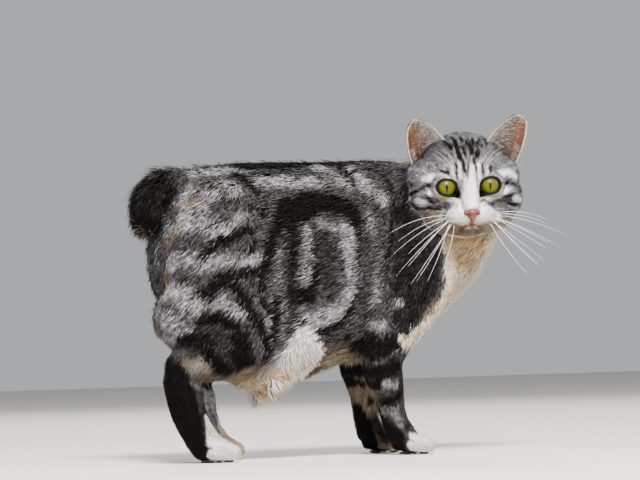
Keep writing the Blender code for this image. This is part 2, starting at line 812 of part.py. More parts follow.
def dress(nodes, cat):
    """Names each node, gives it its material, and sets the cat with its middle over the origin."""
    corners = []
    for name, obj in nodes.items():
        obj.name = name
        colour = next((c for start, c in NODE_COLOURS.items() if name.startswith(start)), "silver")
        obj.data.materials.clear()
        obj.data.materials.append(material(f"{name}_coat", colour))
        obj.data.shade_smooth()
        obj.data.set_sharp_from_angle(angle=math.radians(CREASE))
        corners += [v.co for v in obj.data.vertices]
        for old in obj.users_collection:
            old.objects.unlink(obj)
        cat.objects.link(obj)
    points = np.array(corners)
    middle = (points.min(0) + points.max(0)) / 2
    stand = bpy.data.objects.new("cat", None)
    cat.objects.link(stand)
    stand.location = (-middle[0], -middle[1], 0)
    for obj in nodes.values():
        obj.parent = stand


build()
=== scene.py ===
"""The looks of the standing bobtail cat: one skin under a coat of fur, with its head in detail."""

import math

import bmesh
import bpy
import numpy as np
from mathutils import Matrix, Vector
from mathutils.bvhtree import BVHTree


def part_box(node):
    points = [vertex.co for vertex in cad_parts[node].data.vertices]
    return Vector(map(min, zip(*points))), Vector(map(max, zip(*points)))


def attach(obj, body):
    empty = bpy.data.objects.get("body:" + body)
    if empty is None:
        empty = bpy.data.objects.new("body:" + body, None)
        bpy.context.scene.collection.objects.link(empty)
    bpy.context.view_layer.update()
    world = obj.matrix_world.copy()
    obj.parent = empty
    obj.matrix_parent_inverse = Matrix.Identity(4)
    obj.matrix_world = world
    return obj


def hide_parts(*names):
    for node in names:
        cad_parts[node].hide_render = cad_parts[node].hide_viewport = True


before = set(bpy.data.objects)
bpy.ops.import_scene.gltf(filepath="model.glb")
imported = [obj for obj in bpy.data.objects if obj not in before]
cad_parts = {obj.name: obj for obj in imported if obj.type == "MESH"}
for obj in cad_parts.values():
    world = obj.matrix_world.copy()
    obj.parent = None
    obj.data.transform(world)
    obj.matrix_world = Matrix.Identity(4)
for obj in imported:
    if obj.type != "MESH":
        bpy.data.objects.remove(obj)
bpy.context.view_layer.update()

MM = 0.001

# The head's own frame: x to the cat's left, y up, z forward, in millimetres
HEAD_CENTRE = (144.2, -48.0, 244.0)
HEAD_TURN = -110.0
HEAD_NOD = 3.0
HEAD_ROLL = 1.5
EYE_RADIUS = 11.0
EYE_PLACE = (19.8, -1.0, 27.5)

LIMBS = ("upper_arm", "forearm", "fore_paw", "thigh", "shank", "hock", "hind_paw")
TRUNK_NODES = ("rump", "belly", "chest", "neck")
BODY_NODES = (*TRUNK_NODES, *(f"{part}_{side}" for part in LIMBS for side in ("left", "right")))
HEAD_NODES = ("head", "muzzle", "chin")
ALL_NODES = (*BODY_NODES, *HEAD_NODES, "tail")
# The nodes that the skin of the body is drawn from
FLESH_NODES = (*BODY_NODES, "head")

# The photograph's side: along its view and to its right, in the cat's own coordinates
SIDE_LOOK = Vector((0.4226, 0.9063, 0))
SIDE_RIGHT = Vector((0.9063, -0.4226, 0))
UP = Vector((0, 0, 1))


def head_matrix():
    """From the head's own frame to the cat's, in millimetres."""
    turn = Matrix.Rotation(math.radians(HEAD_TURN + 90), 4, "Z") @ Matrix.Rotation(math.radians(90), 4, "X")
    nod = Matrix.Rotation(math.radians(HEAD_NOD), 4, "X")
    roll = Matrix.Rotation(math.radians(HEAD_ROLL), 4, "Z")
    return Matrix.Translation(Vector(HEAD_CENTRE)) @ turn @ nod @ roll


def corners_of(name):
    low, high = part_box(name)
    return Vector(low), Vector(high)


def middle(name):
    low, high = corners_of(name)
    return (low + high) / 2


def of_part(table, name):
    """A part's row of a table, which may name it without its side."""
    return table.get(name) or table[name.rsplit("_", 1)[0]]


HEAD = head_matrix()
EYE_LEFT = HEAD @ Vector(EYE_PLACE)
# From the cat's own coordinates, in millimetres, to the frame's
SHIFT = middle("eye_left") - EYE_LEFT * MM
SHIFT.z = 0
BODY_TO_FRAME = Matrix.Translation(SHIFT) @ Matrix.Diagonal((MM, MM, MM, 1))
HEAD_TO_FRAME = BODY_TO_FRAME @ HEAD


def as_rows(points, matrix):
    """Points moved by a matrix."""
    m = np.array(matrix)
    return np.asarray(points, float) @ m[:3, :3].T + m[:3, 3]


FRAME_TO_BODY = BODY_TO_FRAME.inverted()
FRAME_TO_HEAD = HEAD_TO_FRAME.inverted()


# Camera and light

# What the camera aims at: how far to the right of the cat's middle, and how high
AIM_RIGHT = 0.018
AIM_HEIGHT = 0.197
CAMERA_AWAY = 3.0
CAMERA_HEIGHT = 0.10
CAMERA_ROLL = 1.57
LENS = 185.6
SENSOR = 36
# Lamps: place, height of the aim, size, power and colour
LAMPS = {
    "key": ((-0.5, -1.6, 1.9), 0.15, 0.9, 275, (1.0, 0.97, 0.93)),
    "fill": ((-2.2, 0.4, 1.0), 0.15, 1.6, 18, (0.93, 0.96, 1.0)),
    "front": ((2.0, -0.6, 0.9), 0.15, 1.4, 28, (0.95, 0.97, 1.0)),
    "rim": ((0.8, 2.0, 1.6), 0.2, 1.0, 50, (1.0, 0.98, 0.95)),
}
SKY = (0.74, 0.76, 0.78)
SKY_STRENGTH = 0.65
FLOOR_TONE = (0.55, 0.54, 0.52)
FLOOR_HALF = 6.0


def linked(name, data):
    """A new object in the scene."""
    obj = bpy.data.objects.new(name, data)
    bpy.context.scene.collection.objects.link(obj)
    return obj


def camera():
    """The photograph's view: from the cat's right and a little behind, low down, with a long lens."""
    data = bpy.data.cameras.new("camera")
    obj = linked("camera", data)
    target = SIDE_RIGHT * AIM_RIGHT + UP * AIM_HEIGHT + SHIFT
    obj.location = target - SIDE_LOOK * CAMERA_AWAY
    obj.location.z = CAMERA_HEIGHT
    way = (target - obj.location).normalized()
    obj.rotation_mode = "QUATERNION"
    roll = Matrix.Rotation(math.radians(CAMERA_ROLL), 3, way)
    obj.rotation_quaternion = (roll @ way.to_track_quat("-Z", "Y").to_matrix()).to_quaternion()
    data.lens = LENS
    data.sensor_width = SENSOR
    data.clip_start = 0.05
    bpy.context.scene.camera = obj


def lamp(name, place, aim_height, size, power, colour):
    data = bpy.data.lights.new(name, "AREA")
    data.shape = "DISK"
    data.size = size
    data.energy = power
    data.color = colour
    obj = linked(name, data)
    obj.location = place
    obj.rotation_mode = "QUATERNION"
    obj.rotation_quaternion = (UP * aim_height - obj.location).to_track_quat("-Z", "Y")


def studio():
    for name, values in LAMPS.items():
        lamp(name, *values)
    world = bpy.data.worlds.new("world")
    world.use_nodes = True
    world.node_tree.nodes["Background"].inputs[0].default_value = (*SKY, 1)
    world.node_tree.nodes["Background"].inputs[1].default_value = SKY_STRENGTH
    bpy.context.scene.world = world
    bm = bmesh.new()
    bmesh.ops.create_grid(bm, x_segments=1, y_segments=1, size=FLOOR_HALF)
    floor = mesh_object("floor", bm)
    made, shader = new_material("floor_paint")
    shader.inputs["Base Color"].default_value = (*FLOOR_TONE, 1)
    shader.inputs["Roughness"].default_value = 0.85
    floor.data.materials.append(made)


# Meshes

def mesh_object(name, bm):
    mesh = bpy.data.meshes.new(name)
    bm.to_mesh(mesh)
    bm.free()
    return linked(name, mesh)


def array_mesh(name, points, faces):
    """A mesh from arrays of points and of faces with as many corners each, or lists of such arrays."""
    groups = faces if isinstance(faces, list) else [faces]
    mesh = bpy.data.meshes.new(name)
    mesh.vertices.add(len(points))
    mesh.vertices.foreach_set("co", np.ascontiguousarray(points, np.float32).ravel())
    loops = np.concatenate([g.ravel() for g in groups]).astype(np.int32)
    sizes = np.concatenate([np.full(len(g), g.shape[1]) for g in groups])
    starts = np.concatenate([[0], np.cumsum(sizes)[:-1]]).astype(np.int32)
    mesh.loops.add(len(loops))
    mesh.loops.foreach_set("vertex_index", loops)
    mesh.polygons.add(len(sizes))
    mesh.polygons.foreach_set("loop_start", starts)
    mesh.update(calc_edges=True)
    return linked(name, mesh)


def rows_of(items, key, width, kind):
    rows = np.zeros(len(items) * width, kind)
    items.foreach_get(key, rows)
    return rows.reshape(-1, width)


def points_of(mesh):
    return rows_of(mesh.vertices, "co", 3, np.float32).astype(float)


def set_points(mesh, points):
    mesh.vertices.foreach_set("co", points.astype(np.float32).ravel())
    mesh.update()


def normals_of(mesh):
    return rows_of(mesh.vertex_normals, "vector", 3, np.float32).astype(float)


def triangles_of(mesh):
    mesh.calc_loop_triangles()
    return rows_of(mesh.loop_triangles, "vertices", 3, np.int32)


def edges_of(mesh):
    return rows_of(mesh.edges, "vertices", 2, np.int32)


def spread(values, edges, rounds):
    """Values at points, one number or a row each, evened out along the edges."""
    if values.ndim > 1:
        return np.stack([spread(column, edges, rounds) for column in values.T], axis=1)
    count = len(values)
    degree = np.maximum(np.bincount(edges.ravel(), minlength=count), 1)
    for _ in range(rounds):
        total = np.bincount(edges[:, 0], values[edges[:, 1]], count)
        total += np.bincount(edges[:, 1], values[edges[:, 0]], count)
        values = 0.5 * values + 0.5 * total / degree
    return values


def applied(obj):
    bpy.context.view_layer.update()
    graph = bpy.context.evaluated_depsgraph_get()
    mesh = bpy.data.meshes.new_from_object(obj.evaluated_get(graph))
    obj.modifiers.clear()
    obj.data = mesh
    return obj


def ball(name, centre, radii, matrix, sides=32):
    bm = bmesh.new()
    place = matrix @ Matrix.Translation(Vector(centre)) @ Matrix.Diagonal((*radii, 1))
    bmesh.ops.create_uvsphere(bm, u_segments=sides, v_segments=sides // 2, radius=1.0, matrix=place)
    return mesh_object(name, bm)


def new_material(name):
    made = bpy.data.materials.new(name)
    made.use_nodes = True
    return made, made.node_tree.nodes["Principled BSDF"]


camera()
studio()


# The skin under the coat

# How deep the coat is over the skin in each part, in millimetres
COAT_DEPTH = {
    "rump": 4.5, "belly": 4.5, "chest": 4.5, "neck": 4.5, "thigh": 4.0, "upper_arm": 3.0,
    "shank": 3.0, "forearm": 2.2, "hock": 1.8, "fore_paw": 1.2, "hind_paw": 1.2, "head": 6.0,
}
SKIN_VOXEL = 1.35
ROUGH_VOXEL = 2.0
# Rounds of evening: of the rough body, of the creases on its trunk, of the coat's depth and of the skin
ROUGH_ROUNDS = 12
CREASE_ROUNDS = 90
DEPTH_ROUNDS = 30
SKIN_ROUNDS = 4
# How far in metres a node's surface is looked for round a point of the skin
PART_REACH = 0.02
# The tail's root: centre and radii; its core: the places along it, each with half width and half depth
TAIL_ROOT = ((-103, 0, 241), (18, 19, 18))
TAIL_CORE = (
    (-92, 0, 240, 11, 11),
    (-114, 0, 247, 10.5, 10),
    (-133, -2, 246, 9.5, 9),
    (-146, -4, 238, 9, 8.5),
    (-150, -5, 227, 8, 8),
    (-149, -5, 217, 5, 5),
)
# How far the closed lids bulge over the eye
LID_THICK = 1.5
# Head masses in its own frame: centre, radii
CRANIUM = ((0, 9, -6), (41.5, 39.5, 42.5))
HEAD_PAIRS = {
    "temple": ((26.5, 6, -4), (25, 23, 26)),
    "cheek": ((27, -12, 0), (26, 23, 27)),
    "jowl": ((19, -28, 6), (23, 15, 25)),
    "brow": ((15, 11, 17.5), (16, 12.5, 14)),
    "cheekbone": ((25, -13, 18), (12, 8, 12)),
    "whisker_pad": ((11.0, -28.0, 36), (13, 9.3, 13.6)),
}
HEAD_SINGLES = {
    "jaw": ((0, -31, 8), (26, 14.5, 26)),
    "chin": ((0, -39, 33.5), (10.5, 6.6, 11)),
    "face": ((0, -12, 21), (24, 20, 20)),
}
# The bridge of the nose: the places along it, each with half width and half depth
NOSE_BRIDGE = ((0, 14, 25, 12, 10), (0, 0, 33, 9.5, 8), (0, -12, 40, 7.6, 8), (0, -20, 44.5, 7.6, 7.5))


def joined(name, pieces):
    bm = bmesh.new()
    for piece in pieces:
        bm.from_mesh(piece.data)
        bpy.data.objects.remove(piece)
    return mesh_object(name, bm)


def skinned(obj, voxel, rounds):
    """One closed skin round all of an object, eased."""
    skin = obj.modifiers.new("skin", "REMESH")
    skin.mode = "VOXEL"
    skin.voxel_size = voxel * MM
    ease = obj.modifiers.new("ease", "SMOOTH")
    ease.factor = 0.5
    ease.iterations = rounds
    return applied(obj)


def tube(name, stations, matrix, sides=24, steps=4):
    """A closed round body through (x, y, z, half width, half depth) rows."""
    rows = [np.array(s, float) for s in stations]
    padded = [2 * rows[0] - rows[1], *rows, 2 * rows[-1] - rows[-2]]
    line = []
    for a, b, c, d in zip(padded, padded[1:], padded[2:], padded[3:]):
        for k in range(steps):
            t = k / steps
            line.append(0.5 * (2 * b + (c - a) * t + (2 * a - 5 * b + 4 * c - d) * t * t
                               + (3 * b - a - 3 * c + d) * t**3))
    line.append(rows[-1])
    line = np.array(line)
    tangent = np.gradient(line[:, :3], axis=0)
    tangent /= np.linalg.norm(tangent, axis=1)[:, None]
    ends = []
    for end, sign in ((0, -1), (-1, 1)):
        reach = 0.9 * min(line[end, 3:5])
        for a in (0.5, 1.0, 1.4):
            ends.append((sign, line[end, :3] + tangent[end] * sign * reach * math.sin(a), tangent[end],
                         line[end, 3:5] * math.cos(a)))
    sections = [(p, t, s) for sign, p, t, s in reversed(ends) if sign < 0]
    sections += [(p[:3], t, p[3:5]) for p, t in zip(line, tangent)]
    sections += [(p, t, s) for sign, p, t, s in ends if sign > 0]
    side = np.array((0, 1, 0)) if abs(tangent[0][1]) < 0.8 else np.array((1, 0, 0))
    turns = np.arange(sides) * 2 * math.pi / sides
    bm = bmesh.new()
    rings = []
    for centre, along, (wide, deep) in sections:
        across = side - along * along.dot(side)
        across /= np.linalg.norm(across)
        up = np.cross(along, across)
        ring = [centre + across * wide * math.cos(a) + up * deep * math.sin(a) for a in turns]
        rings.append([bm.verts.new(matrix @ Vector(place)) for place in ring])
    for one, two in zip(rings, rings[1:]):
        for k in range(sides):
            bm.faces.new((one[k], one[(k + 1) % sides], two[(k + 1) % sides], two[k]))
    bm.faces.new(rings[0])
    bm.faces.new(rings[-1])
    bmesh.ops.recalc_face_normals(bm, faces=bm.faces)
    return mesh_object(name, bm)


def nearest_part(points, names):
    """For each point the index in names of the node whose surface is nearest."""
    best = np.full(len(points), 1e9)
    index = np.zeros(len(points), int)
    for k, name in enumerate(names):
        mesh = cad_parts[name].data
        tree = BVHTree.FromPolygons([v.co for v in mesh.vertices], [p.vertices for p in mesh.polygons])
        low, high = (np.array(corner) for corner in corners_of(name))
        near = np.all((points > low - PART_REACH) & (points < high + PART_REACH), axis=1)
        for i in np.nonzero(near)[0]:
            found = tree.find_nearest(Vector(points[i]), PART_REACH)
            if found[0] is not None and found[3] < best[i]:
                best[i] = found[3]
                index[i] = k
    return index


def evened(points, edges):
    """The trunk without the creases between its masses, the limbs and the tail left as they are."""
    x, _, z = as_rows(points, FRAME_TO_BODY).T
    share = np.clip((z - 95) / 30, 0, 1) * np.clip((x + 100) / 20, 0, 1)
    return points + (spread(points, edges, CREASE_ROUNDS) - points) * share[:, None]


def body_skin():
    """The trunk and limbs, from the solids, drawn in by the depth of the coat."""
    copies = []
    for name in FLESH_NODES:
        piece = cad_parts[name].copy()
        piece.data = piece.data.copy()
        piece.parent = None
        bpy.context.scene.collection.objects.link(piece)
        copies.append(piece)
    body = skinned(joined("body", copies), ROUGH_VOXEL, ROUGH_ROUNDS)
    bm = bmesh.new()
    bm.from_mesh(body.data)
    keep_largest(bm)
    bm.to_mesh(body.data)
    bm.free()
    edges = edges_of(body.data)
    points = evened(points_of(body.data), edges)
    set_points(body.data, points)
    depths = np.array([of_part(COAT_DEPTH, n) for n in FLESH_NODES])
    depth = spread(depths[nearest_part(points, FLESH_NODES)], edges, DEPTH_ROUNDS)
    set_points(body.data, points - normals_of(body.data) * depth[:, None] * MM)
    return body


def keep_largest(bm):
    """Leaves only the largest closed surface."""
    unseen = set(bm.verts)
    shells = []
    while unseen:
        edge = [unseen.pop()]
        shell = list(edge)
        while edge:
            for link in edge.pop().link_edges:
                for vert in link.verts:
                    if vert in unseen:
                        unseen.discard(vert)
                        shell.append(vert)
                        edge.append(vert)
        shells.append(shell)
    shells.sort(key=len)
    for shell in shells[:-1]:
        bmesh.ops.delete(bm, geom=shell, context="VERTS")


def mirrored(point, side):
    return (side * point[0], point[1], point[2])


def head_parts():
    pieces = [ball("cranium", *CRANIUM, HEAD_TO_FRAME)]
    pieces += [ball(name, centre, radii, HEAD_TO_FRAME) for name, (centre, radii) in HEAD_SINGLES.items()]
    for side in (-1, 1):
        for name, (centre, radii) in HEAD_PAIRS.items():
            pieces.append(ball(name, mirrored(centre, side), radii, HEAD_TO_FRAME))
        pieces.append(ball("lids", mirrored(EYE_PLACE, side), [EYE_RADIUS + LID_THICK] * 3, HEAD_TO_FRAME))
    pieces.append(tube("bridge", NOSE_BRIDGE, HEAD_TO_FRAME))
    return pieces


def whole_skin():
    tail = tube("tail_core", TAIL_CORE, BODY_TO_FRAME)
    root = ball("tail_root", *TAIL_ROOT, BODY_TO_FRAME)
    made = joined("skin", [body_skin(), tail, root, *head_parts()])
    return skinned(made, SKIN_VOXEL, SKIN_ROUNDS)


# Eyes

# Half width and half height of the opening between the lids, and how it slants
OPENING = (8.8, 7.1)
OPENING_SLANT = math.radians(11)
# The inner corner: which way it points, how wide it spreads and how far it reaches
CORNER = (math.radians(-137), math.radians(17), 2.6)
LID_RADIUS = 12.1
# The socket's depth and its radius
SOCKET = (9.3, 11.5)
# Skin within so many millimetres of an eye's axis is made finer, so many times
FINE_RADIUS = 13
FINE_ROUNDS = 2
# How far before the middle of an eye its lids may lie
LID_REACH = (1, 20)


def opening_edge(turn):
    """How far the lids' edge is from the middle of the eye, outwards being 0 and up a quarter turn."""
    a = turn - OPENING_SLANT
    edge = 1 / np.sqrt((np.cos(a) / OPENING[0]) ** 2 + (np.sin(a) / OPENING[1]) ** 2)
    way, spread_by, reach = CORNER
    off = (turn - way + math.pi) % (2 * math.pi) - math.pi
    return edge + reach * np.exp(-(off / spread_by) ** 2)


def eye_frame(points, side):
    """Head points seen from the middle of an eye: outwards, up, forward."""
    x, y, z = EYE_PLACE
    return np.stack([side * points[:, 0] - x, points[:, 1] - y, points[:, 2] - z], axis=1)


def share_of_opening(local):
    """1 at the lids' edge, less inside it."""
    across = np.hypot(local[:, 0], local[:, 1])
    share = across / opening_edge(np.arctan2(local[:, 1], local[:, 0]))
    return np.where(local[:, 2] > 0, share, 9.0), across


def before_eye(local):
    return (local[:, 2] > LID_REACH[0]) & (local[:, 2] < LID_REACH[1])


def open_eyes(skin):
    """Finer skin round the eyes, then sockets behind the eyes and lids that end on them."""
    for _ in range(FINE_ROUNDS):
        bm = bmesh.new()
        bm.from_mesh(skin.data)
        points = as_rows(points_of(skin.data), FRAME_TO_HEAD)
        near = np.zeros(len(points), bool)
        for side in (-1, 1):
            local = eye_frame(points, side)
            near |= (np.hypot(local[:, 0], local[:, 1]) < FINE_RADIUS) & before_eye(local)
        bm.verts.ensure_lookup_table()
        chosen = [e for e in bm.edges if near[e.verts[0].index] and near[e.verts[1].index]]
        bmesh.ops.subdivide_edges(bm, edges=chosen, cuts=1, use_grid_fill=True)
        bm.to_mesh(skin.data)
        bm.free()
    points = as_rows(points_of(skin.data), FRAME_TO_HEAD)
    for side in (-1, 1):
        local = eye_frame(points, side)
        share, across = share_of_opening(local)
        inside = before_eye(local) & (share < 1.6)
        socket = SOCKET[0] * np.sqrt(np.maximum(1 - (across / SOCKET[1]) ** 2, 0.04))
        lid = np.sqrt(np.maximum(LID_RADIUS**2 - across**2, 9))
        rise = np.clip((share - 0.93) / 0.07, 0, 1)
        blend = smooth_step(share, 1.1, 1.6)
        depth = (socket + (lid - socket) * rise) * (1 - blend) + local[:, 2] * blend
        points[inside, 2] += (depth - local[:, 2])[inside]
    set_points(skin.data, as_rows(points, HEAD_TO_FRAME))


# Paws

# Grooves between the toes: where across the paw, in half widths, and their depth and width in millimetres
TOE_GROOVES = (-0.5, 0.0, 0.5)
GROOVE_DEPTH = 2.4
GROOVE_WIDTH = 1.3


def paws():
    """The paws' nodes, the corners of their boxes in the cat's own millimetres, and their half widths."""
    for name in ALL_NODES:
        if "paw" in name:
            low, high = (np.array(FRAME_TO_BODY @ corner) for corner in corners_of(name))
            yield name, low, high, (high[1] - low[1]) / 2


def toes(skin, points, parts):
    """Presses the grooves between the toes into the paws; tells how deep in a groove each point is, for the
    painted shade of the hair in the grooves.
    """
    normals = normals_of(skin.data)
    grooves = np.zeros(len(points))
    for name, low, high, half in paws():
        ahead = (points[:, 0] - low[0]) / (high[0] - low[0])
        across = (points[:, 1] - (low[1] + high[1]) / 2) / half
        front = smooth_step(ahead, 0.45, 0.72) * (parts == ALL_NODES.index(name)) * (normals[:, 2] > -0.6)
        for k in TOE_GROOVES:
            grooves = np.maximum(grooves, front * np.exp(-((across - k) * half / GROOVE_WIDTH) ** 2))
    points = points - normals * (GROOVE_DEPTH * grooves)[:, None]
    set_points(skin.data, as_rows(points, BODY_TO_FRAME))
    return points, grooves


# Marks, as strokes laid on the skin: the places each runs through, in millimetres, and its width there
# SIDE is seen from the cat's right as in the photograph: how far to the right a place is, and its height
# FACE is seen from in front of the head, CROWN from above it and TOP from above the back
DARK_SIDE = (
    ((-52, 262, 15), (-32, 262, 15), (-11, 262, 14), (6, 264, 13)),
    ((6, 264, 10), (43, 265, 10), (80, 266, 9), (99, 264, 9)),
    ((7, 260, 7), (16, 255, 7), (22, 247, 6), (26, 240, 5)),
    ((25, 264, 11), (42, 263, 11)),
    ((38, 262, 10), (45, 253, 7), (51, 243, 6), (55, 234, 5)),
    ((58, 266, 7), (65, 259, 5)),
    ((67, 265, 8), (74, 257, 7), (80, 249, 6), (84, 240, 6), (86, 227, 6), (87, 211, 6)),
    ((97, 264, 7), (98, 252, 8), (97, 233, 9), (96, 212, 11)),
    ((92, 260, 5), (93, 240, 5), (90, 218, 5)),
    ((-53, 253, 12), (-45, 246, 12), (-38, 237, 9)),
    ((-32, 235, 6), (-29, 227, 7), (-33, 217, 7)),
    ((-78, 227, 5), (-67, 231, 5), (-57, 226, 5)),
    ((-62, 251, 5), (-56, 241, 5), (-51, 231, 5)),
    ((-44, 223, 5), (-37, 224, 5), (-32, 217, 5), (-34, 208, 5), (-42, 207, 5)),
    ((-32, 233, 5), (-33, 221, 5)),
    ((-10, 224, 22), (1, 222, 24), (11, 228, 26), (21, 229, 18), (34, 227, 19), (46, 221, 20),
     (51, 211, 14), (53, 199, 7), (52, 172, 6), (51, 141, 6)),
    ((-13, 217, 18), (-21, 205, 13), (-25, 191, 13), (-28, 180, 14), (-27, 172, 9)),
    ((-6, 209, 14), (-5, 194, 13), (-6, 176, 10), (-8, 156, 8)),
    ((13, 211, 6), (14, 191, 6), (14, 175, 8), (13, 161, 10), (12, 150, 9)),
    ((-3, 147, 16), (6, 146, 16)),
    ((0, 123, 8), (1, 122, 8)),
    ((23, 204, 6), (29, 190, 6), (34, 179, 6), (39, 166, 6), (42, 156, 6), (32, 155, 5), (26, 168, 5),
     (22, 181, 5)),
    ((22, 154, 5), (22, 141, 5)),
    ((65, 258, 5), (68, 241, 5), (68, 217, 5), (66, 190, 5), (62, 167, 5), (54, 149, 5)),
    ((76, 217, 5), (75, 185, 5), (72, 163, 5)),
    ((-3, 255, 5), (2, 247, 5)),
    ((-47, 143, 5), (-39, 150, 5)),
    ((85, 226, 6), (82, 194, 7), (77, 174, 7), (73, 154, 6)),
    ((-34, 171, 11), (-36, 158, 10), (-35, 144, 9), (-29, 132, 8)),
    ((-21, 144, 9), (-23, 124, 10), (-26, 110, 8), (-29, 101, 5)),
    ((-9, 185, 7), (-10, 151, 8), (-10, 124, 8), (-13, 104, 5)),
    ((11, 114, 8), (21, 115, 9), (30, 119, 9), (39, 125, 9), (45, 133, 9), (49, 144, 8)),
    ((39, 108, 10), (45, 99, 10)),
    ((-85, 181, 9), (-77, 190, 10), (-67, 196, 11), (-56, 200, 10), (-45, 206, 9), (-42, 196, 7),
     (-44, 185, 7), (-50, 187, 6)),
    ((-87, 207, 5), (-74, 210, 5), (-61, 215, 5)),
    ((-91, 202, 5), (-82, 206, 5)),
    ((-105, 188, 5), (-87, 196, 5)),
    ((-105, 170, 5), (-96, 172, 5), (-85, 176, 5)),
    ((-103, 159, 5), (-93, 164, 5)),
    ((-79, 156, 9), (-69, 163, 11), (-55, 166, 11), (-44, 168, 10), (-44, 156, 6)),
    ((-94, 150, 7), (-84, 152, 9), (-74, 156, 10), (-64, 157, 10), (-55, 151, 11), (-51, 142, 12),
     (-45, 132, 13), (-39, 122, 13), (-35, 110, 12), (-32, 98, 11), (-36, 87, 10), (-43, 81, 8)),
    ((-84, 149, 10), (-77, 148, 10)),
    ((-92, 124, 8), (-83, 128, 11), (-71, 129, 13), (-61, 121, 13), (-52, 113, 11)),
    ((-55, 103, 20), (-52, 91, 22), (-54, 80, 16)),
    ((-105, 111, 12), (-93, 110, 15), (-83, 106, 13), (-76, 105, 7)),
    ((-85, 98, 10), (-77, 90, 14), (-68, 80, 15), (-69, 75, 10)),
    ((-91, 67, 8), (-88, 64, 7)),
    ((-86, 70, 5), (-84, 64, 5)),
    ((-118, 92, 9), (-113, 81, 20), (-110, 69, 26), (-108, 58, 28), (-105, 46, 28), (-101, 33, 26),
     (-96, 21, 20), (-94, 10, 18), (-92, 2, 13)),
    ((-89, 51, 5), (-87, 42, 5), (-83, 35, 5)),
    ((-139, 220, 24), (-134, 213, 22), (-130, 223, 18), (-135, 234, 13)),
    ((-135, 243, 5), (-126, 251, 5), (-112, 257, 5)),
    ((-109, 243, 7), (-100, 245, 7)),
    ((54, 100, 16), (70, 100, 20), (83, 102, 15)),
    ((51, 79, 12), (67, 76, 15), (85, 80, 11)),
    ((54, 64, 7), (58, 67, 11), (67, 64, 11)),
    ((64, 50, 7), (73, 49, 8), (82, 50, 8), (88, 58, 7), (89, 66, 5)),
    ((68, 39, 7), (74, 27, 13), (80, 17, 18), (85, 10, 15), (89, 6, 9)),
    ((91, 25, 4), (94, 26, 4)),
    ((35, 78, 13), (42, 77, 11)),
    ((48, 42, 13), (53, 26, 18), (58, 12, 20), (65, 3, 11)),
)
COAL_SIDE = (
    ((-20, 212, 10), (-26, 196, 10), (-28, 180, 10)),
    ((17, 202, 6), (20, 186, 7), (19, 168, 7)),
    ((-35, 116, 7), (-32, 100, 7)),
    ((66, 100, 31), (79, 95, 22)),
    ((64, 75, 16), (78, 75, 16)),
    ((64, 30, 13), (74, 15, 16)),
    ((96, 259, 7), (95, 231, 9)),
    ((96, 217, 22), (98, 185, 29), (99, 153, 33), (93, 123, 24)),
    ((114, 217, 27), (116, 185, 27), (110, 153, 31), (96, 129, 24)),
    ((124, 197, 9), (125, 174, 8)),
)
SMOKE_SIDE = (
    ((79, 262, 9), (90, 231, 12), (89, 203, 12)),
    ((-129, 145, 10), (-130, 123, 10)),
    ((18, 232, 25), (46, 218, 20)),
    ((88, 208, 14), (86, 149, 16)),
    ((66, 95, 38), (80, 68, 25)),
    ((62, 31, 16), (73, 14, 16)),
    ((-8, 204, 21), (-9, 151, 20)),
    ((20, 195, 16), (26, 154, 18)),
    ((-89, 117, 16), (-58, 99, 21)),
    ((-32, 258, 5), (-7, 261, 5), (9, 259, 5)),
    ((-4, 137, 10), (-3, 126, 9)),
    ((23, 190, 9), (22, 156, 9)),
    ((57, 195, 10), (56, 140, 10)),
    ((70, 227, 9), (69, 194, 9)),
    ((23, 107, 13), (41, 103, 13)),
    ((-107, 104, 9), (-93, 102, 10), (-78, 102, 9)),
    ((62, 154, 9), (57, 122, 10)),
    ((107, 258, 9), (106, 230, 10)),
)
PALE_SIDE = (
    ((-99, 237, 20), (-58, 241, 18)),
    ((-99, 213, 22), (-66, 203, 16)),
    ((-109, 178, 20), (-84, 177, 18)),
    ((-113, 151, 20), (-92, 144, 20)),
    ((-117, 128, 18), (-101, 116, 15)),
    ((-69, 146, 9), (-66, 139, 11)),
    ((0, 122, 18), (31, 130, 18)),
    ((29, 254, 9), (49, 241, 7)),
    ((17, 210, 7), (37, 202, 5)),
    ((1, 195, 7), (1, 159, 7)),
    ((-122, 246, 9), (-108, 252, 9)),
    ((-119, 231, 9), (-107, 233, 11)),
    ((-92, 255, 15), (-74, 255, 15)),
    ((-112, 243, 11), (-76, 235, 13)),
    ((-101, 227, 11), (-83, 225, 11)),
    ((-114, 207, 9), (-101, 213, 9)),
    ((-71, 258, 10), (-46, 258, 8)),
    ((-32, 249, 14), (18, 247, 14)),
    ((18, 260, 11), (38, 248, 11)),
    ((49, 258, 11), (63, 242, 16), (76, 231, 11)),
    ((43, 206, 15), (42, 143, 15)),
    ((66, 215, 11), (65, 142, 11)),
    ((7, 206, 8), (6, 161, 8)),
    ((-17, 185, 7), (-17, 149, 7)),
    ((-76, 177, 13), (-40, 179, 11)),
    ((-73, 140, 12), (-54, 131, 12)),
    ((-101, 139, 13), (-89, 133, 9)),
    ((-29, 142, 5), (-31, 126, 7), (-30, 107, 5)),
    ((-16, 142, 5), (-18, 111, 5)),
    ((-1, 134, 7), (3, 119, 7)),
    ((-126, 112, 11), (-111, 108, 7)),
    ((-133, 183, 8), (-129, 118, 8)),
    ((-97, 86, 13), (-85, 85, 13)),
    ((-89, 59, 9), (-84, 45, 9)),
    ((69, 64, 9), (81, 64, 11)),
    ((67, 43, 7), (81, 39, 8), (86, 28, 6)),
    ((91, 149, 11), (87, 131, 9)),
    ((72, 115, 11), (63, 121, 9)),
    ((55, 90, 9), (70, 86, 7), (84, 93, 7)),
    ((-78, 201, 11), (-65, 207, 9), (-52, 218, 9)),
    ((-115, 127, 13), (-107, 121, 9)),
)
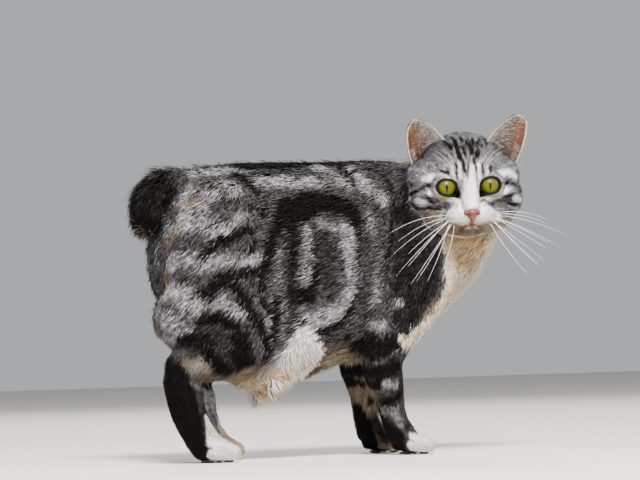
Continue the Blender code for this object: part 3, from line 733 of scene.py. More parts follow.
LIGHT_SIDE = (
    ((-16, 202, 3), (-19, 188, 3)),
    ((-5, 206, 3), (-6, 194, 3)),
    ((-49, 195, 5), (-49, 193, 5)),
    ((-39, 215, 5), (-38, 213, 5)),
    ((-118, 256, 3), (-92, 259, 3)),
    ((-135, 243, 3), (-123, 238, 3), (-115, 237, 4), (-112, 243, 5)),
    ((80, 142, 7), (91, 136, 6)),
    ((67, 117, 6), (72, 109, 5)),
    ((50, 88, 4), (65, 84, 4), (83, 93, 4)),
    ((73, 65, 7), (82, 64, 9)),
)
WHITE_SIDE = (
    ((154, 193, 32), (148, 173, 36), (146, 162, 30), (139, 146, 26), (127, 132, 20), (113, 122, 12),
     (99, 109, 10)),
    ((-86, 40, 6), (-83, 31, 11), (-79, 20, 17), (-68, 12, 21), (-58, 9, 16)),
    ((-81, 7, 12), (-64, 5, 10)),
    ((100, 16, 12), (106, 11, 19), (112, 6, 11)),
    ((97, 8, 10), (107, 4, 10)),
    ((2, 111, 20), (1, 97, 32), (-8, 83, 29), (-21, 72, 20), (-34, 66, 14)),
    ((10, 97, 20), (5, 83, 20), (-12, 74, 16)),
    ((-5, 106, 16), (-17, 87, 16), (-28, 75, 16)),
    ((-37, 68, 21), (-26, 67, 20), (-10, 72, 14)),
    ((-50, 67, 16), (-41, 62, 18), (-29, 61, 16)),
    ((89, 105, 8), (94, 101, 11), (99, 105, 8)),
)
WARM_SIDE = (
    ((-43, 64, 27), (-26, 65, 24)),
    ((-29, 78, 15), (-17, 74, 15)),
    ((-99, 213, 4), (-107, 204, 4), (-114, 196, 4)),
    ((-99, 229, 8), (-89, 227, 8)),
    ((-117, 167, 7), (-117, 151, 7)),
    ((-54, 72, 13), (-37, 76, 13), (-25, 68, 9)),
    ((21, 86, 12), (43, 90, 12)),
    ((137, 194, 22), (163, 191, 24)),
    ((142, 179, 22), (155, 177, 22)),
    ((142, 155, 13), (116, 130, 9)),
    ((40, 62, 9), (48, 57, 9), (49, 46, 7), (55, 31, 5)),
    ((56, 57, 4), (60, 40, 4), (67, 21, 4), (76, 6, 4)),
    ((-82, 58, 5), (-81, 47, 4)),
    ((-103, 87, 9), (-86, 84, 11)),
    ((-81, 27, 3), (-75, 27, 5)),
)
DARK_FACE = (
    ((-18.6, 13.5, 2.6), (-16, 11.6, 2.6)),
    ((25.8, 14.1, 2.8), (27, 11.3, 2.8)),
    ((-11, 19.5, 3.7), (-9.7, 14, 4.6), (-10, 7.6, 2.8)),
    ((-4.4, 23.7, 3.3), (-4.2, 15.5, 3.3), (-2.7, 11.8, 2.4)),
    ((5.5, 22.3, 3.7), (6.7, 15, 3.7), (8.3, 10.4, 2.8)),
    ((12.7, 18.3, 3.3), (13.2, 12.8, 3.7), (12.7, 6.5, 2.4)),
    ((20.2, 16.1, 2.8), (20.6, 10.7, 2.4)),
    ((-7.8, 32, 4.6), (-6.9, 25.6, 4.6), (-5.4, 22.8, 3.7)),
    ((-3, 34.5, 3.7), (-1.3, 27.2, 3.7), (-0.7, 24.4, 2.8)),
    ((3.7, 36.1, 4.6), (4.8, 31.4, 4.6), (4.2, 26.9, 3.7)),
    ((9.8, 33, 3.7), (10, 28.4, 5.5), (8.5, 24, 3.7)),
    ((-17.7, 41.8, 3.7), (-15, 36.1, 4.6), (-12.9, 33.2, 4.6)),
    ((-11.2, 44.3, 3.7), (-8.3, 39.4, 4.6), (-8.3, 34.8, 4.6)),
    ((-3, 42.9, 3.7), (-2.1, 39.1, 3.7)),
    ((1.9, 40.8, 3.7), (1.1, 37.1, 3.7)),
    ((7.5, 40.5, 4.6), (7.4, 35.9, 3.7)),
    ((14.7, 41.1, 3.7), (10.5, 36.7, 4.6)),
    ((19.6, 40, 4.6), (19, 34.5, 3.7)),
    ((-23.1, 13.7, 2.8), (-19.5, 12.6, 3.3), (-17, 9.8, 2.8)),
    ((-27.8, 2.2, 3.7), (-34.6, 1.6, 4.2), (-38.6, 0, 4.2), (-43.9, -2.5, 4.2), (-50.5, -5.9, 4.2)),
    ((-36.1, -10.1, 3.3), (-32, -14.9, 3.7), (-25.8, -17.9, 3.7)),
    ((-52, -13.1, 3.7), (-45.6, -18.4, 3.7), (-34.6, -19.3, 3.7), (-26.7, -20.1, 3.7)),
    ((-10.8, -3.2, 3.7), (-9.5, -8.7, 5.1), (-8.1, -14.2, 4.2)),
    ((30, 1.1, 3.3), (38.6, 0.7, 3.7), (44.4, -2.3, 4.2), (49.4, -7.1, 3.7)),
    ((11.1, -3.4, 3.7), (10.6, -9.7, 5.1), (11.3, -14.2, 3.7)),
    ((32, -12.6, 3.3), (39.2, -11.1, 4.2), (49.2, -8, 3.7)),
    ((36, -17.4, 3.3), (42.1, -19.5, 3.7), (48.9, -19, 3.3)),
)
SMOKE_FACE = (
    ((-15.3, -31.8, 2.3), (-8, -34, 2.3), (1.6, -33.6, 2.3), (10.3, -34.9, 2.3), (17.8, -33.5, 2.3)),
    ((-15, 36.1, 7.3), (-3.1, 33.6, 7.3), (14, 34.7, 7.3)),
    ((0.9, 22.5, 2.7), (0, 11.7, 2.7), (0.4, 6.2, 1.8)),
    ((-6.5, -0.7, 2.7), (-6.5, -9.7, 2.3)),
    ((-37.8, -9.2, 5.5), (-29.8, -13.1, 5.5)),
    ((28.9, -14.2, 6.4), (41.1, -13.1, 8.2)),
    ((-15.4, -29.1, 1.4), (-10, -28.4, 1.4)),
    ((10.9, -30.4, 1.4), (16.5, -29.8, 1.4)),
    ((-45.7, 20.5, 4.5), (-48.9, 2.3, 4.5)),
)
WHITE_FACE = (
    ((4.1, 16.9, 3.3), (3.5, 9.7, 5.1), (2.7, 2.5, 8.7), (0.9, -4.6, 13.3), (-0.9, -11.8, 19.6)),
    ((-1.6, -18, 31.5), (-0.7, -24.4, 31.5)),
    ((-12.4, -20.3, 18.7), (-18.6, -26.2, 15.1), (-21.9, -30.6, 7.8)),
    ((14.6, -21.6, 18.7), (19.7, -27.3, 14.2), (25.5, -31.3, 7.8)),
    ((-10.9, -29.3, 13.3), (9.1, -29.4, 13.3)),
    ((-39, 7.3, 5.1), (-32, 9.6, 6.9), (-24.2, 10.1, 4.2), (-18.3, 8, 2.4)),
    ((28.8, 10.3, 5.1), (39.2, 9.8, 6.9), (46.3, 4.9, 5.1)),
    ((-34.7, -4.7, 4.2), (-28.7, -8.7, 4.2), (-20.8, -12.2, 4.2), (-13.1, -12.1, 4.2)),
    ((37.6, -5.6, 4.2), (30.6, -8.9, 4.2), (24.9, -12.2, 3.3), (17.3, -13.6, 4.2)),
    ((-45.5, -11.5, 6), (-40.6, -13.6, 5.1)),
    ((43.2, -13.2, 6), (48.7, -15.3, 5.1)),
    ((-7.5, 19.3, 2.8), (-7.4, 7.5, 3.3)),
    ((-13.8, 17.8, 2.4), (-13.5, 9.6, 2.8)),
    ((9.8, 18.4, 2.8), (10, 6.7, 3.3)),
    ((17.3, 16.3, 2.4), (17.5, 9, 2.8)),
    ((-3.2, 6.4, 2.8), (-4.9, -1.7, 2.8)),
    ((8.9, 4, 2.8), (9.2, -3.3, 2.8)),
)
WARM_FACE = (
    ((-38.9, -23.7, 8.2), (-28.9, -25, 7.3)),
    ((-35, -32, 10), (-21.6, -39.1, 9.1), (-8.5, -46.3, 10.9)),
    ((-8.3, -40.4, 11.8), (0.2, -41.7, 13.6), (12.5, -41.7, 11.8)),
    ((2.7, -48.7, 16.4), (16.6, -49.6, 12.7)),
    ((22.2, -41.4, 10), (29.6, -35.2, 9.1), (41.7, -26.8, 8.2), (45.4, -21.5, 5.5)),
    ((-12.1, -37.7, 5.5), (-1.5, -37.1, 5.5), (15.7, -38.2, 5.5)),
)
DARK_TOP = (
    ((-96, 0, 12), (-60, 0, 17), (0, 0, 16), (60, 0, 15), (96, -3, 12)),
    ((-74, -16, 4), (-44, -19, 6), (-8, -19, 4)),
    ((8, -20, 4), (40, -19, 6), (72, -17, 4)),
)
DARK_CROWN = (
    ((4, 22, 3), (5, 2, 4), (5, -20, 5), (4, -40, 6)),
    ((14, 24, 3), (17, 5, 4), (17, -18, 5), (13, -38, 6)),
    ((27, -12, 4), (25, -30, 5)),
)
# The fluff under the belly: where it grows and which way it hangs
FLUFF_SIDE = (((4, 100, 32), (-20, 76, 38), (-42, 68, 28)),)
FLUFF_LIE = (0.5, 0, -1)
# How far before the cat the strokes start, in millimetres
FAR = 500.0


def laid(tree, strokes, across, up, way, start=None):
    """Strokes cast onto the skin along one way: pairs of places with their half widths."""
    origin = (start or Vector((0, 0, 0))) - way * FAR
    links = []
    for stroke in strokes:
        spots = []
        for a, b, width in stroke:
            place = origin + across * a + up * b
            hit = tree.ray_cast(place, way)[0]
            if hit is None:
                tries = [tree.find_nearest(place + way * (FAR + step)) for step in range(-160, 161, 4)]
                hit = min(tries, key=lambda found: found[3])[0]
            spots.append((np.array(hit), width / 2))
        links += zip(spots, spots[1:])
    return links


def depth_in(points, links):
    """How far inside strokes points are, in millimetres, below 0 outside them."""
    best = np.full(len(points), -50.0)
    for (a, half_a), (b, half_b) in links:
        span = b - a
        size = max(span @ span, 1e-6)
        reach = 0.5 * math.sqrt(size) + max(half_a, half_b) + 5
        near = np.nonzero(np.sum((points - (a + b) / 2) ** 2, axis=1) < reach**2)[0]
        t = np.clip((points[near] - a) @ span / size, 0, 1)
        gap = np.linalg.norm(points[near] - a - t[:, None] * span, axis=1)
        best[near] = np.maximum(best[near], half_a + (half_b - half_a) * t - gap)
    return best


def all_links(tree):
    """The strokes of each tone: those on the body and those on the head."""
    turn = HEAD.to_3x3()
    side, up, forward = (turn @ Vector(v) for v in ((1, 0, 0), (0, 1, 0), (0, 0, 1)))
    middle_of_head = Vector(HEAD_CENTRE)
    groups = {}
    drawn = {
        "dark": (DARK_SIDE, DARK_FACE), "coal": (COAL_SIDE, ()), "smoke": (SMOKE_SIDE, SMOKE_FACE),
        "pale": (PALE_SIDE, ()), "light": (LIGHT_SIDE, ()), "white": (WHITE_SIDE, WHITE_FACE),
        "warm": (WARM_SIDE, WARM_FACE),
    }
    for tone, (from_side, from_front) in drawn.items():
        on_body = laid(tree, from_side, SIDE_RIGHT, UP, SIDE_LOOK)
        groups[tone] = on_body, laid(tree, from_front, side, up, -forward, middle_of_head)
    groups["dark"][0].extend(laid(tree, DARK_TOP, Vector((1, 0, 0)), Vector((0, 1, 0)), -UP))
    for way in (-1, 1):
        groups["dark"][1].extend(laid(tree, DARK_CROWN, side * way, forward, -up, middle_of_head))
    return groups


def twin_shift(parts):
    """How a point's mirror image moves to lie on the same place of the limb across, for each part."""
    shifts = []
    for name in ALL_NODES:
        shift = np.zeros(3)
        if name.endswith(("_left", "_right")):
            other = name.replace("_left", "_L").replace("_right", "_left").replace("_L", "_right")
            here, there = (np.array(FRAME_TO_BODY @ middle(n)) for n in (name, other))
            shift = there - here * (1, -1, 1)
        shifts.append(shift)
    return np.array(shifts)[parts]


# The throat's white, from under the chin to the top of the bib
THROAT = tuple(
    ((np.array(HEAD @ Vector(start)), 17.0), (np.array(end), 24.0))
    for start, end in (((0, -44, 12), (138.0, 6.0, 190.0)), ((6, -44, 0), (150.0, 0.0, 165.0)))
)
# How many millimetres a tone takes to fade where it isn't as sharp as the black marks
EDGES = {"dark": 1.4, "pale": 4.0, "smoke": 2.5, "coal": 2.5, "warm": 7.0, "light": 1.5}
FACE_EDGES = {"dark": 0.4, "white": 1.2, "smoke": 1.5, "warm": 3.0}


def smooth_step(values, low, high):
    t = np.clip((values - low) / (high - low), 0, 1)
    return t * t * (3 - 2 * t)


# Which kind of part each node is, without its side
KINDS = np.array([n.rsplit("_", 1)[0] if n.endswith(("_left", "_right")) else n for n in ALL_NODES])
# The bib's edge: how far forward it starts, how it slopes back below the height of the chest, and its ends
BIB_FRONT = 119
BIB_SLOPE = (150, 0.69)
BIB_HEIGHTS = (95, 214)
BIB_SIDE = 27
# White socks: how far forward the fore sock starts, and where the hind sock starts, how high and how steep
FORE_SOCK = 90
FORE_SOCK_TOP = 24
HIND_SOCK = (-113, 38, 0.57)
# The tail darkens towards its end between these distances behind the middle of the cat
TAIL_DARK = (120, 134)
# Shares of the opening of the lids: the dark ring round it and the pale ring round that
DARK_RING = (1.12, 1.30)
PALE_RING = ((1.26, 1.34), (1.4, 1.7))


def ring_of(share, low, high):
    """1 inside a ring's edge and 0 outside it."""
    return smooth_step(-share, -high, -low)


def white_of(found, points, normals, near, kind, wobble):
    """The white of the strokes, the bib, the throat and the socks."""
    x, z = near[:, 0], near[:, 2]
    trunk = np.isin(kind, ("chest", "neck", "upper_arm"))
    bib = smooth_step(x - BIB_FRONT + BIB_SLOPE[1] * np.maximum(BIB_SLOPE[0] - z, 0) + 2 * wobble, -1, 4)
    top = smooth_step(BIB_HEIGHTS[1] + 7 * waves(points, 16, 45) - z, -5, 5)
    side = smooth_step(BIB_SIDE + 0.09 * (z - 100) + 5 * waves(points, 17, 46) - points[:, 1], -5, 5)
    white = np.maximum(found, bib * trunk * top * side * (z > BIB_HEIGHTS[0]))
    throat = smooth_step(depth_in(points, THROAT) + 2 * wobble, -3, 3)
    white = np.maximum(white, 0.85 * throat * trunk * smooth_step(normals[:, 0], 0.2, 0.5))
    fore = (kind == "fore_paw") | ((kind == "forearm") & (z < FORE_SOCK_TOP))
    white = np.maximum(white, smooth_step(x - FORE_SOCK + 1.2 * wobble, -1, 2) * fore)
    start, height, slope = HIND_SOCK
    hind = np.minimum(x - start, height - slope * (x - start) - z) + 1.2 * wobble
    return np.maximum(white, smooth_step(hind, -1, 2) * np.isin(kind, ("hind_paw", "hock")))


def tones(points, normals, shift, parts, groups, grain):
    """How dark, white, warm and pale the coat is at points, from its strokes and its parts."""
    mirror = points * (1, -1, 1) + shift
    near = np.where(points[:, 1:2] < 0, points, mirror)
    kind = KINDS[parts]
    on_head = np.isin(kind, HEAD_NODES)
    chin, hock = kind == "chin", kind == "hock"
    rough = np.where(on_head, 0.35, 1.0)
    wobble = rough * (0.8 * waves(points, 7, 41) + 0.45 * waves(points, 3, 42) + grain)
    found = {}
    for tone, (on_body, on_face) in groups.items():
        depth = np.maximum(depth_in(points, on_body), depth_in(mirror, on_body))
        depth[on_head] = depth_in(points[on_head], on_face)
        edge = np.where(on_head, FACE_EDGES.get(tone, 1.0), EDGES.get(tone, 1.0))
        found[tone] = smooth_step(depth + wobble, -edge, edge)
    dark = np.maximum(found["dark"], 0.55 * found["smoke"])
    dark = np.maximum(dark, found["coal"] * (0.85 + 0.12 * waves(points, 9, 43)))
    tail_dark = 0.12 + 0.3 * waves(points, 12, 44) + 0.85 * smooth_step(-points[:, 0], *TAIL_DARK)
    dark = np.maximum(dark, np.clip(tail_dark, 0, 0.97) * (kind == "tail"))
    dark = np.maximum(dark, smooth_step(-normals[:, 0], 0.2, 0.5) * hock)
    dark *= 1 - found["light"]
    white = white_of(found["white"], points, normals, near, kind, wobble)
    under = smooth_step(-normals[:, 2], 0.45, 0.8) * (near[:, 2] > 45)
    inward = smooth_step(-normals[:, 1] * np.sign(points[:, 1]), 0.2, 0.6)
    inward *= (near[:, 2] < 130) * (np.abs(points[:, 1]) > 8)
    dark *= 1 - 0.9 * inward * hock * (normals[:, 0] > -0.4)
    limb = ~np.isin(kind, ("chest", "neck", "rump", "tail", "hock"))
    warm = np.maximum(found["warm"], 0.85 * np.maximum(under, inward * limb))
    local = as_rows(points, HEAD.inverted())
    below = smooth_step(EYE_PLACE[1] - local[:, 1], 0, 5)
    for side in (-1, 1):
        share = share_of_opening(eye_frame(local, side))[0]
        dark_ring = ring_of(share, *DARK_RING) * on_head
        pale_ring = smooth_step(share, *PALE_RING[0]) * ring_of(share, *PALE_RING[1]) * on_head
        dark = np.maximum(dark, dark_ring)
        white = np.maximum(white, 0.55 * (0.3 + 0.7 * below) * pale_ring)
        white *= 1 - dark_ring
    # The chin keeps little white; below it is made warm brown of its own, and half dark as painted shade
    # under the muzzle.
    white *= np.where(chin, 0.2, 1.0)
    trunk = np.isin(kind, ("chest", "neck", "upper_arm"))
    warm = np.maximum(warm, np.where(trunk, 0.6, 0.15) * white * (1 - on_head))
    warm = np.maximum(warm, chin)
    dark = np.maximum(dark, 0.5 * chin) * (1 - np.maximum(white, 0.8 * under))
    crown = smooth_step(local[:, 1], 16, 30) + smooth_step(-local[:, 2], 0, 25)
    pale = np.maximum(0.9 * found["pale"], (0.68 - 0.36 * np.clip(crown, 0, 1)) * on_head)
    pale = np.maximum(pale, 0.9 * inward * hock) * (1 - dark)
    return np.clip(dark, 0, 1), white, warm, pale


# The coat

# In millimetres how long the hair is, its width and how high its tip is, and tufts on a square millimetre
COAT = {
    "rump": (13, 0.9, 4.0, 0.58), "belly": (13.5, 0.9, 4.0, 0.55), "chest": (12.5, 0.9, 4.0, 0.58),
    "neck": (13, 0.9, 4.4, 0.55), "thigh": (12, 0.9, 3.8, 0.5), "upper_arm": (10, 0.85, 2.9, 0.6),
    "shank": (8.0, 0.8, 2.6, 1.0), "forearm": (6.0, 0.65, 1.8, 1.3), "hock": (5.0, 0.6, 1.5, 1.5),
    "fore_paw": (3.6, 0.5, 1.0, 2.0), "hind_paw": (3.6, 0.5, 1.0, 2.0),
    "head": (5.6, 0.5, 1.6, 2.0), "muzzle": (3.6, 0.4, 0.95, 3.2), "chin": (4.2, 0.45, 1.2, 2.6),
    "tail": (20, 0.9, 8.0, 1.3),
}
# Which way the hair lies; that of the head is worked out from its nose
LIE = {
    "rump": (-1, 0, -0.45), "belly": (-1, 0, -0.4), "chest": (-1, 0, -0.5), "neck": (-0.8, 0.1, -0.7),
    "thigh": (-0.8, 0, -0.8), "upper_arm": (-0.55, 0, -0.9), "shank": (-0.45, 0, -0.9),
    "forearm": (-0.15, 0, -1), "hock": (0.1, 0, -1), "fore_paw": (0.7, 0, -0.6), "hind_paw": (0.8, 0, -0.5),
    "tail": (-0.5, 0, -0.8), "head": (0, 0, 0), "muzzle": (0, 0, 0), "chin": (0, 0, 0),
}
# Coat pieces and the nodes that each covers; those of the limbs have their side behind them
COAT_PIECES = {
    "coat_head": ("head",), "coat_muzzle": ("muzzle", "chin"), "coat_neck": ("neck",),
    "coat_chest": ("chest",), "coat_belly_left": ("belly",), "coat_belly_right": ("belly",),
    "coat_rump": ("rump",), "coat_tail": ("tail",),
}
LIMB_PIECES = {
    "coat_arm": ("upper_arm",), "coat_foreleg": ("forearm", "fore_paw"), "coat_thigh": ("thigh",),
    "coat_hind_leg": ("shank", "hock", "hind_paw"),
}
for word in ("left", "right"):
    for piece, nodes in LIMB_PIECES.items():
        COAT_PIECES[f"{piece}_{word}"] = tuple(f"{node}_{word}" for node in nodes)
# Pieces whose tufts are so short that one ring and a tip are enough
SHORT_COAT = ("coat_head", "coat_muzzle", "coat_foreleg", "coat_hind_leg")
TUFT_TAPER = (1.0, 0.85, 0.6)
# A tuft's patch of the map, as a share of the map's side
PATCH = 0.003
# How many waves a noise is the sum of
WAVES = 9


def waves(points, size, seed):
    """Smooth noise from about -1 to 1 whose features are about so many millimetres across."""
    draw = np.random.default_rng(seed)
    ways = draw.normal(size=(WAVES, 3))
    ways *= (2 * math.pi / size * draw.uniform(0.6, 1.5, WAVES) / np.linalg.norm(ways, axis=1))[:, None]
    turns = draw.uniform(0, 2 * math.pi, WAVES)
    total = np.zeros(len(points))
    for way, turn in zip(ways, turns):
        total += np.sin(points @ way + turn)
    return total / math.sqrt(WAVES)


def streaks(points, way, reach, size, seed):
    """Noise drawn out along the lie of the coat, from about -1 to 1."""
    total = np.zeros(len(points))
    for step in np.linspace(-1, 1, 7):
        total += waves(points + way * (reach * step)[:, None], size, seed)
    return np.clip(total / 4, -1.2, 1.2)


def unit(rows):
    return rows / np.maximum(np.linalg.norm(rows, axis=1), 1e-9)[:, None]


def lie_of(points, parts):
    """Which way the coat lies at points of the skin, in the cat's own coordinates."""
    ways = np.array([of_part(LIE, n) for n in ALL_NODES], float)[parts]
    turn = np.array(HEAD)[:3, :3]
    local = as_rows(points, HEAD.inverted())
    x, y, z = local.T
    nose = np.stack([0.9 * x, y + 20, z - 46], axis=1)
    out = np.sign(x) * (np.abs(x) > 14)
    face = unit(nose) + np.stack([0.35 * out, -0.35 * (y < -5), -0.5 * np.ones(len(x))], axis=1)
    on_head = (parts >= len(BODY_NODES)) & (parts < len(ALL_NODES) - 1)
    ways[on_head] = unit(face[on_head]) @ turn.T
    return ways


def roots_on(skin, density, seed):
    """Random points on the skin: the triangle and the weights of its corners for each."""
    draw = np.random.default_rng(seed)
    points = points_of(skin.data) / MM
    tris = triangles_of(skin.data)
    a, b, c = (points[tris[:, k]] for k in range(3))
    area = 0.5 * np.linalg.norm(np.cross(b - a, c - a), axis=1)
    expected = area * density[tris].mean(axis=1)
    count = np.floor(expected + draw.random(len(tris))).astype(int)
    which = np.repeat(np.arange(len(tris)), count)
    u, v = draw.random((2, len(which)))
    flip = u + v > 1
    u[flip], v[flip] = 1 - u[flip], 1 - v[flip]
    return tris[which], np.stack([1 - u - v, u, v], axis=1)


def at_roots(values, corners, weights):
    """Point values of the skin at the roots."""
    if values.ndim > 1:
        return np.einsum("ij,ijk->ik", weights, values[corners])
    return np.einsum("ij,ij->i", weights, values[corners])


def tuft_arrays(root, normal, way, length, width, rise, rows, sink):
    """Points and faces of tapered three-sided tufts, each with so many rings and a tip."""
    count = len(root)
    across = unit(np.cross(way, normal))
    shares = np.linspace(0, 1, rows + 1)
    rings = []
    for k, share in enumerate(shares[:-1]):
        height = rise * (1 - (1 - share) ** 2) - (sink if k == 0 else 0)
        centre = root + way * (length * share)[:, None] + normal * height[:, None]
        half = 0.5 * width * TUFT_TAPER[k]
        rings += [centre - across * half[:, None], centre + across * half[:, None],
                  centre + normal * (0.7 * half)[:, None]]
    tip = root + way * length[:, None] + normal * (rise * 0.92)[:, None]
    points = np.stack([*rings, tip], axis=1)
    per = 3 * rows + 1
    quads = []
    for k in range(rows - 1):
        for j in range(3):
            a, b = 3 * k + j, 3 * k + (j + 1) % 3
            quads.append((a, b, b + 3, a + 3))
    last = 3 * (rows - 1)
    tris = [(last + j, last + (j + 1) % 3, 3 * rows) for j in range(3)] + [(2, 1, 0)]
    offset = (np.arange(count) * per)[:, None, None]
    faces = [(np.array(tris)[None] + offset).reshape(-1, 3)]
    if quads:
        faces.insert(0, (np.array(quads)[None] + offset).reshape(-1, 4))
    return points.reshape(-1, 3), faces, per


def set_values(mesh, name, values):
    mesh.attributes.new(name, "FLOAT", "POINT").data.foreach_set("value", np.asarray(values, np.float32))


def bake_map(mesh, place, normal, rows):
    """The map OFBake: each tuft is a small patch at its root, laid out by the six ways that skin faces."""
    axis = np.argmax(np.abs(normal), axis=1)
    every = np.arange(len(place))
    cell = 2 * axis + (normal[every, axis] > 0)
    share = (place - place.min(axis=0)) / np.maximum(np.ptp(place, axis=0), 1e-6)
    first, second = np.array((1, 0, 0))[axis], np.array((2, 2, 1))[axis]
    u = (cell % 3 + 0.03 + 0.93 * share[every, first]) / 3
    v = (cell // 3 + 0.03 + 0.93 * share[every, second]) / 2
    column = np.array([0, 1, 0.5] * rows + [0.5])
    row = np.concatenate([[k / rows, k / rows, k / rows - 0.3] for k in range(rows)] + [[1.0]])
    spots = np.stack([u[:, None] + PATCH * column, v[:, None] + PATCH * row], axis=2).reshape(-1, 2)
    corner = np.zeros(len(mesh.loops), np.int32)
    mesh.loops.foreach_get("vertex_index", corner)
    layer = mesh.uv_layers.new(name="OFBake")
    layer.data.foreach_set("uv", spots[corner].astype(np.float32).ravel())


def tuft_piece(name, tufts, chosen, rows):
    """One coat piece from the tufts chosen of a set."""
    part = {key: values[chosen] for key, values in tufts.items()}
    shape = [part[key] for key in ("root", "normal", "way", "length", "width", "rise")]
    points, faces, per = tuft_arrays(*shape, rows, part["sink"])
    piece = array_mesh(name, as_rows(points, BODY_TO_FRAME), faces)
    for key in (*MARKS, "shade"):
        set_values(piece.data, key, np.repeat(part[key], per))
    along = np.concatenate([np.repeat(np.linspace(0, 1, rows + 1)[:-1], 3), [1.0]])
    set_values(piece.data, "along", np.tile(along, len(part["root"])))
    bake_map(piece.data, part["root"], part["normal"], rows)
    piece.data.materials.append(bpy.data.materials["coat"])
    piece.data.shade_smooth()
    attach(piece, "root")


# Materials

def node(tree, kind, **values):
    made = tree.nodes.new(kind)
    for key, value in values.items():
        if key.startswith("in_"):
            made.inputs[int(key[3:])].default_value = value
        else:
            setattr(made, key, value)
    return made


def attribute(tree, name):
    return node(tree, "ShaderNodeAttribute", attribute_name=name).outputs["Fac"]


def maths(tree, operation, a, b=0.0, c=0.0):
    made = node(tree, "ShaderNodeMath", operation=operation)
    for slot, value in zip(made.inputs, (a, b, c)):
        if isinstance(value, (int, float)):
            slot.default_value = value
        else:
            tree.links.new(value, slot)
    return made.outputs[0]


def mixed(tree, share, a, b, blend="MIX"):
    """Colours a and b mixed: each a colour or a socket."""
    made = node(tree, "ShaderNodeMix", data_type="RGBA", blend_type=blend)
    for slot, value in ((made.inputs[0], share), (made.inputs[6], a), (made.inputs[7], b)):
        if isinstance(value, (int, float)):
            slot.default_value = value
        elif isinstance(value, tuple):
            slot.default_value = (*value, 1)
        else:
            tree.links.new(value, slot)
    return made.outputs[2]


def noise(tree, size, detail=3.0):
    """Noise in object space whose features are about so many metres across."""
    made = node(tree, "ShaderNodeTexNoise")
    made.inputs["Scale"].default_value = 1 / size
    made.inputs["Detail"].default_value = detail
    tree.links.new(node(tree, "ShaderNodeTexCoord").outputs["Object"], made.inputs["Vector"])
    return made.outputs["Fac"]


def ranged(tree, value, low, high, to_low=0.0, to_high=1.0):
    """A value's share of the way from low to high, held between to_low and to_high."""
    made = node(tree, "ShaderNodeMapRange", in_1=low, in_2=high, in_3=to_low, in_4=to_high)
    tree.links.new(value, made.inputs[0])
    return made.outputs[0]


def scaled(tree, vector, factor):
    made = node(tree, "ShaderNodeVectorMath", operation="SCALE")
    tree.links.new(vector, made.inputs[0])
    tree.links.new(factor, made.inputs["Scale"])
    return made.outputs[0]


def bumpy(tree, shader, height, depth, strength):
    """Lets a height so many metres deep show in the shading."""
    bump = node(tree, "ShaderNodeBump", in_0=strength, in_1=depth)
    tree.links.new(height, bump.inputs["Height"])
    tree.links.new(bump.outputs[0], shader.inputs["Normal"])


def surface(tree, shader, colour, roughness, specular=None, coat=None, coat_roughness=0.15):
    """The colour of a shader and how it shines."""
    tree.links.new(colour, shader.inputs["Base Color"])
    shader.inputs["Roughness"].default_value = roughness
    if specular is not None:
        shader.inputs["Specular IOR Level"].default_value = specular
    if coat is not None:
        shader.inputs["Coat Weight"].default_value = coat
        shader.inputs["Coat Roughness"].default_value = coat_roughness


SILVER = (0.43, 0.42, 0.45)
SILVER_TICKED = (0.105, 0.099, 0.105)
GREY = (0.076, 0.0725, 0.074)
GREY_TICKED = (0.021, 0.0197, 0.0193)
BLACK = (0.006, 0.0055, 0.005)
WHITE = (0.92, 0.91, 0.885)
OCHRE = (0.24, 0.15, 0.07)
CREAM = (0.50, 0.41, 0.29)
BUFF = (0.66, 0.46, 0.25)


def coat_material():
    """Agouti fur: silver ground ticked dark, black marks, white and cream, with painted shade darkening the
    hair towards its roots, deep in the coat.
    """
    made, shader = new_material("coat")
    tree = made.node_tree
    ticked = ranged(tree, noise(tree, 0.0035, 4.0), 0.38, 0.66, 0.0, 0.75)
    ground = mixed(tree, attribute(tree, "pale"), mixed(tree, ticked, GREY, GREY_TICKED),
                   mixed(tree, ticked, SILVER, SILVER_TICKED))
    warm_tone = mixed(tree, noise(tree, 0.03, 2.0), OCHRE, CREAM)
    ground = mixed(tree, maths(tree, "MULTIPLY", attribute(tree, "warm"), 0.7), ground, warm_tone)
    ground = mixed(tree, attribute(tree, "dark"), ground, BLACK)
    snow = mixed(tree, attribute(tree, "warm"), WHITE, BUFF)
    ground = mixed(tree, attribute(tree, "white"), ground, snow)
    # Painted shade deep in the coat: the hair is darker towards its root. The shade attribute holds random
    # tone together with the painted shade of the skin and of the toe grooves.
    depth = maths(tree, "MULTIPLY_ADD", attribute(tree, "along"), 0.42, 0.62)
    bright = maths(tree, "MULTIPLY", depth, attribute(tree, "shade"))
    surface(tree, shader, scaled(tree, ground, bright), 0.58, specular=0.06)
    bumpy(tree, shader, noise(tree, 0.0012, 2.0), 0.0007, 0.5)


# What the coat's material reads at each point, besides how far along its hair the point is and its shade,
# which holds random tone and painted shade
MARKS = ("dark", "white", "warm", "pale")
# The skin under the coat is painted in shade: darker by this share where it isn't white, and painted as dark
# as a point this far along a hair
SKIN_PAINTED_SHADE = 0.62
SKIN_SHADE_ALONG = 0.3
# Rounds of evening: of the coat's length, of its lie and of the shift to the mirror image
COAT_ROUNDS = 12
LIE_ROUNDS = 20
SHIFT_ROUNDS = 30
# How the fluff under the belly is longer, thinner, higher and denser than the coat round it
FLUFF_MORE = (2.0, -0.15, 0.5, 0.25)
# Skin inside this share of the opening of the lids has no hair
BARE_SHARE = 1.13
# Of the hairs longer than so many millimetres, the share that stands out, and how much higher
STRAY_SHARE = 0.08
STRAY_LENGTH = 8
STRAY_RISE = 1.7
# No hair reaches lower than this over the floor, in millimetres, or is cut to less than this share
FLOOR_GAP = 0.3
SHORTEST = 0.15

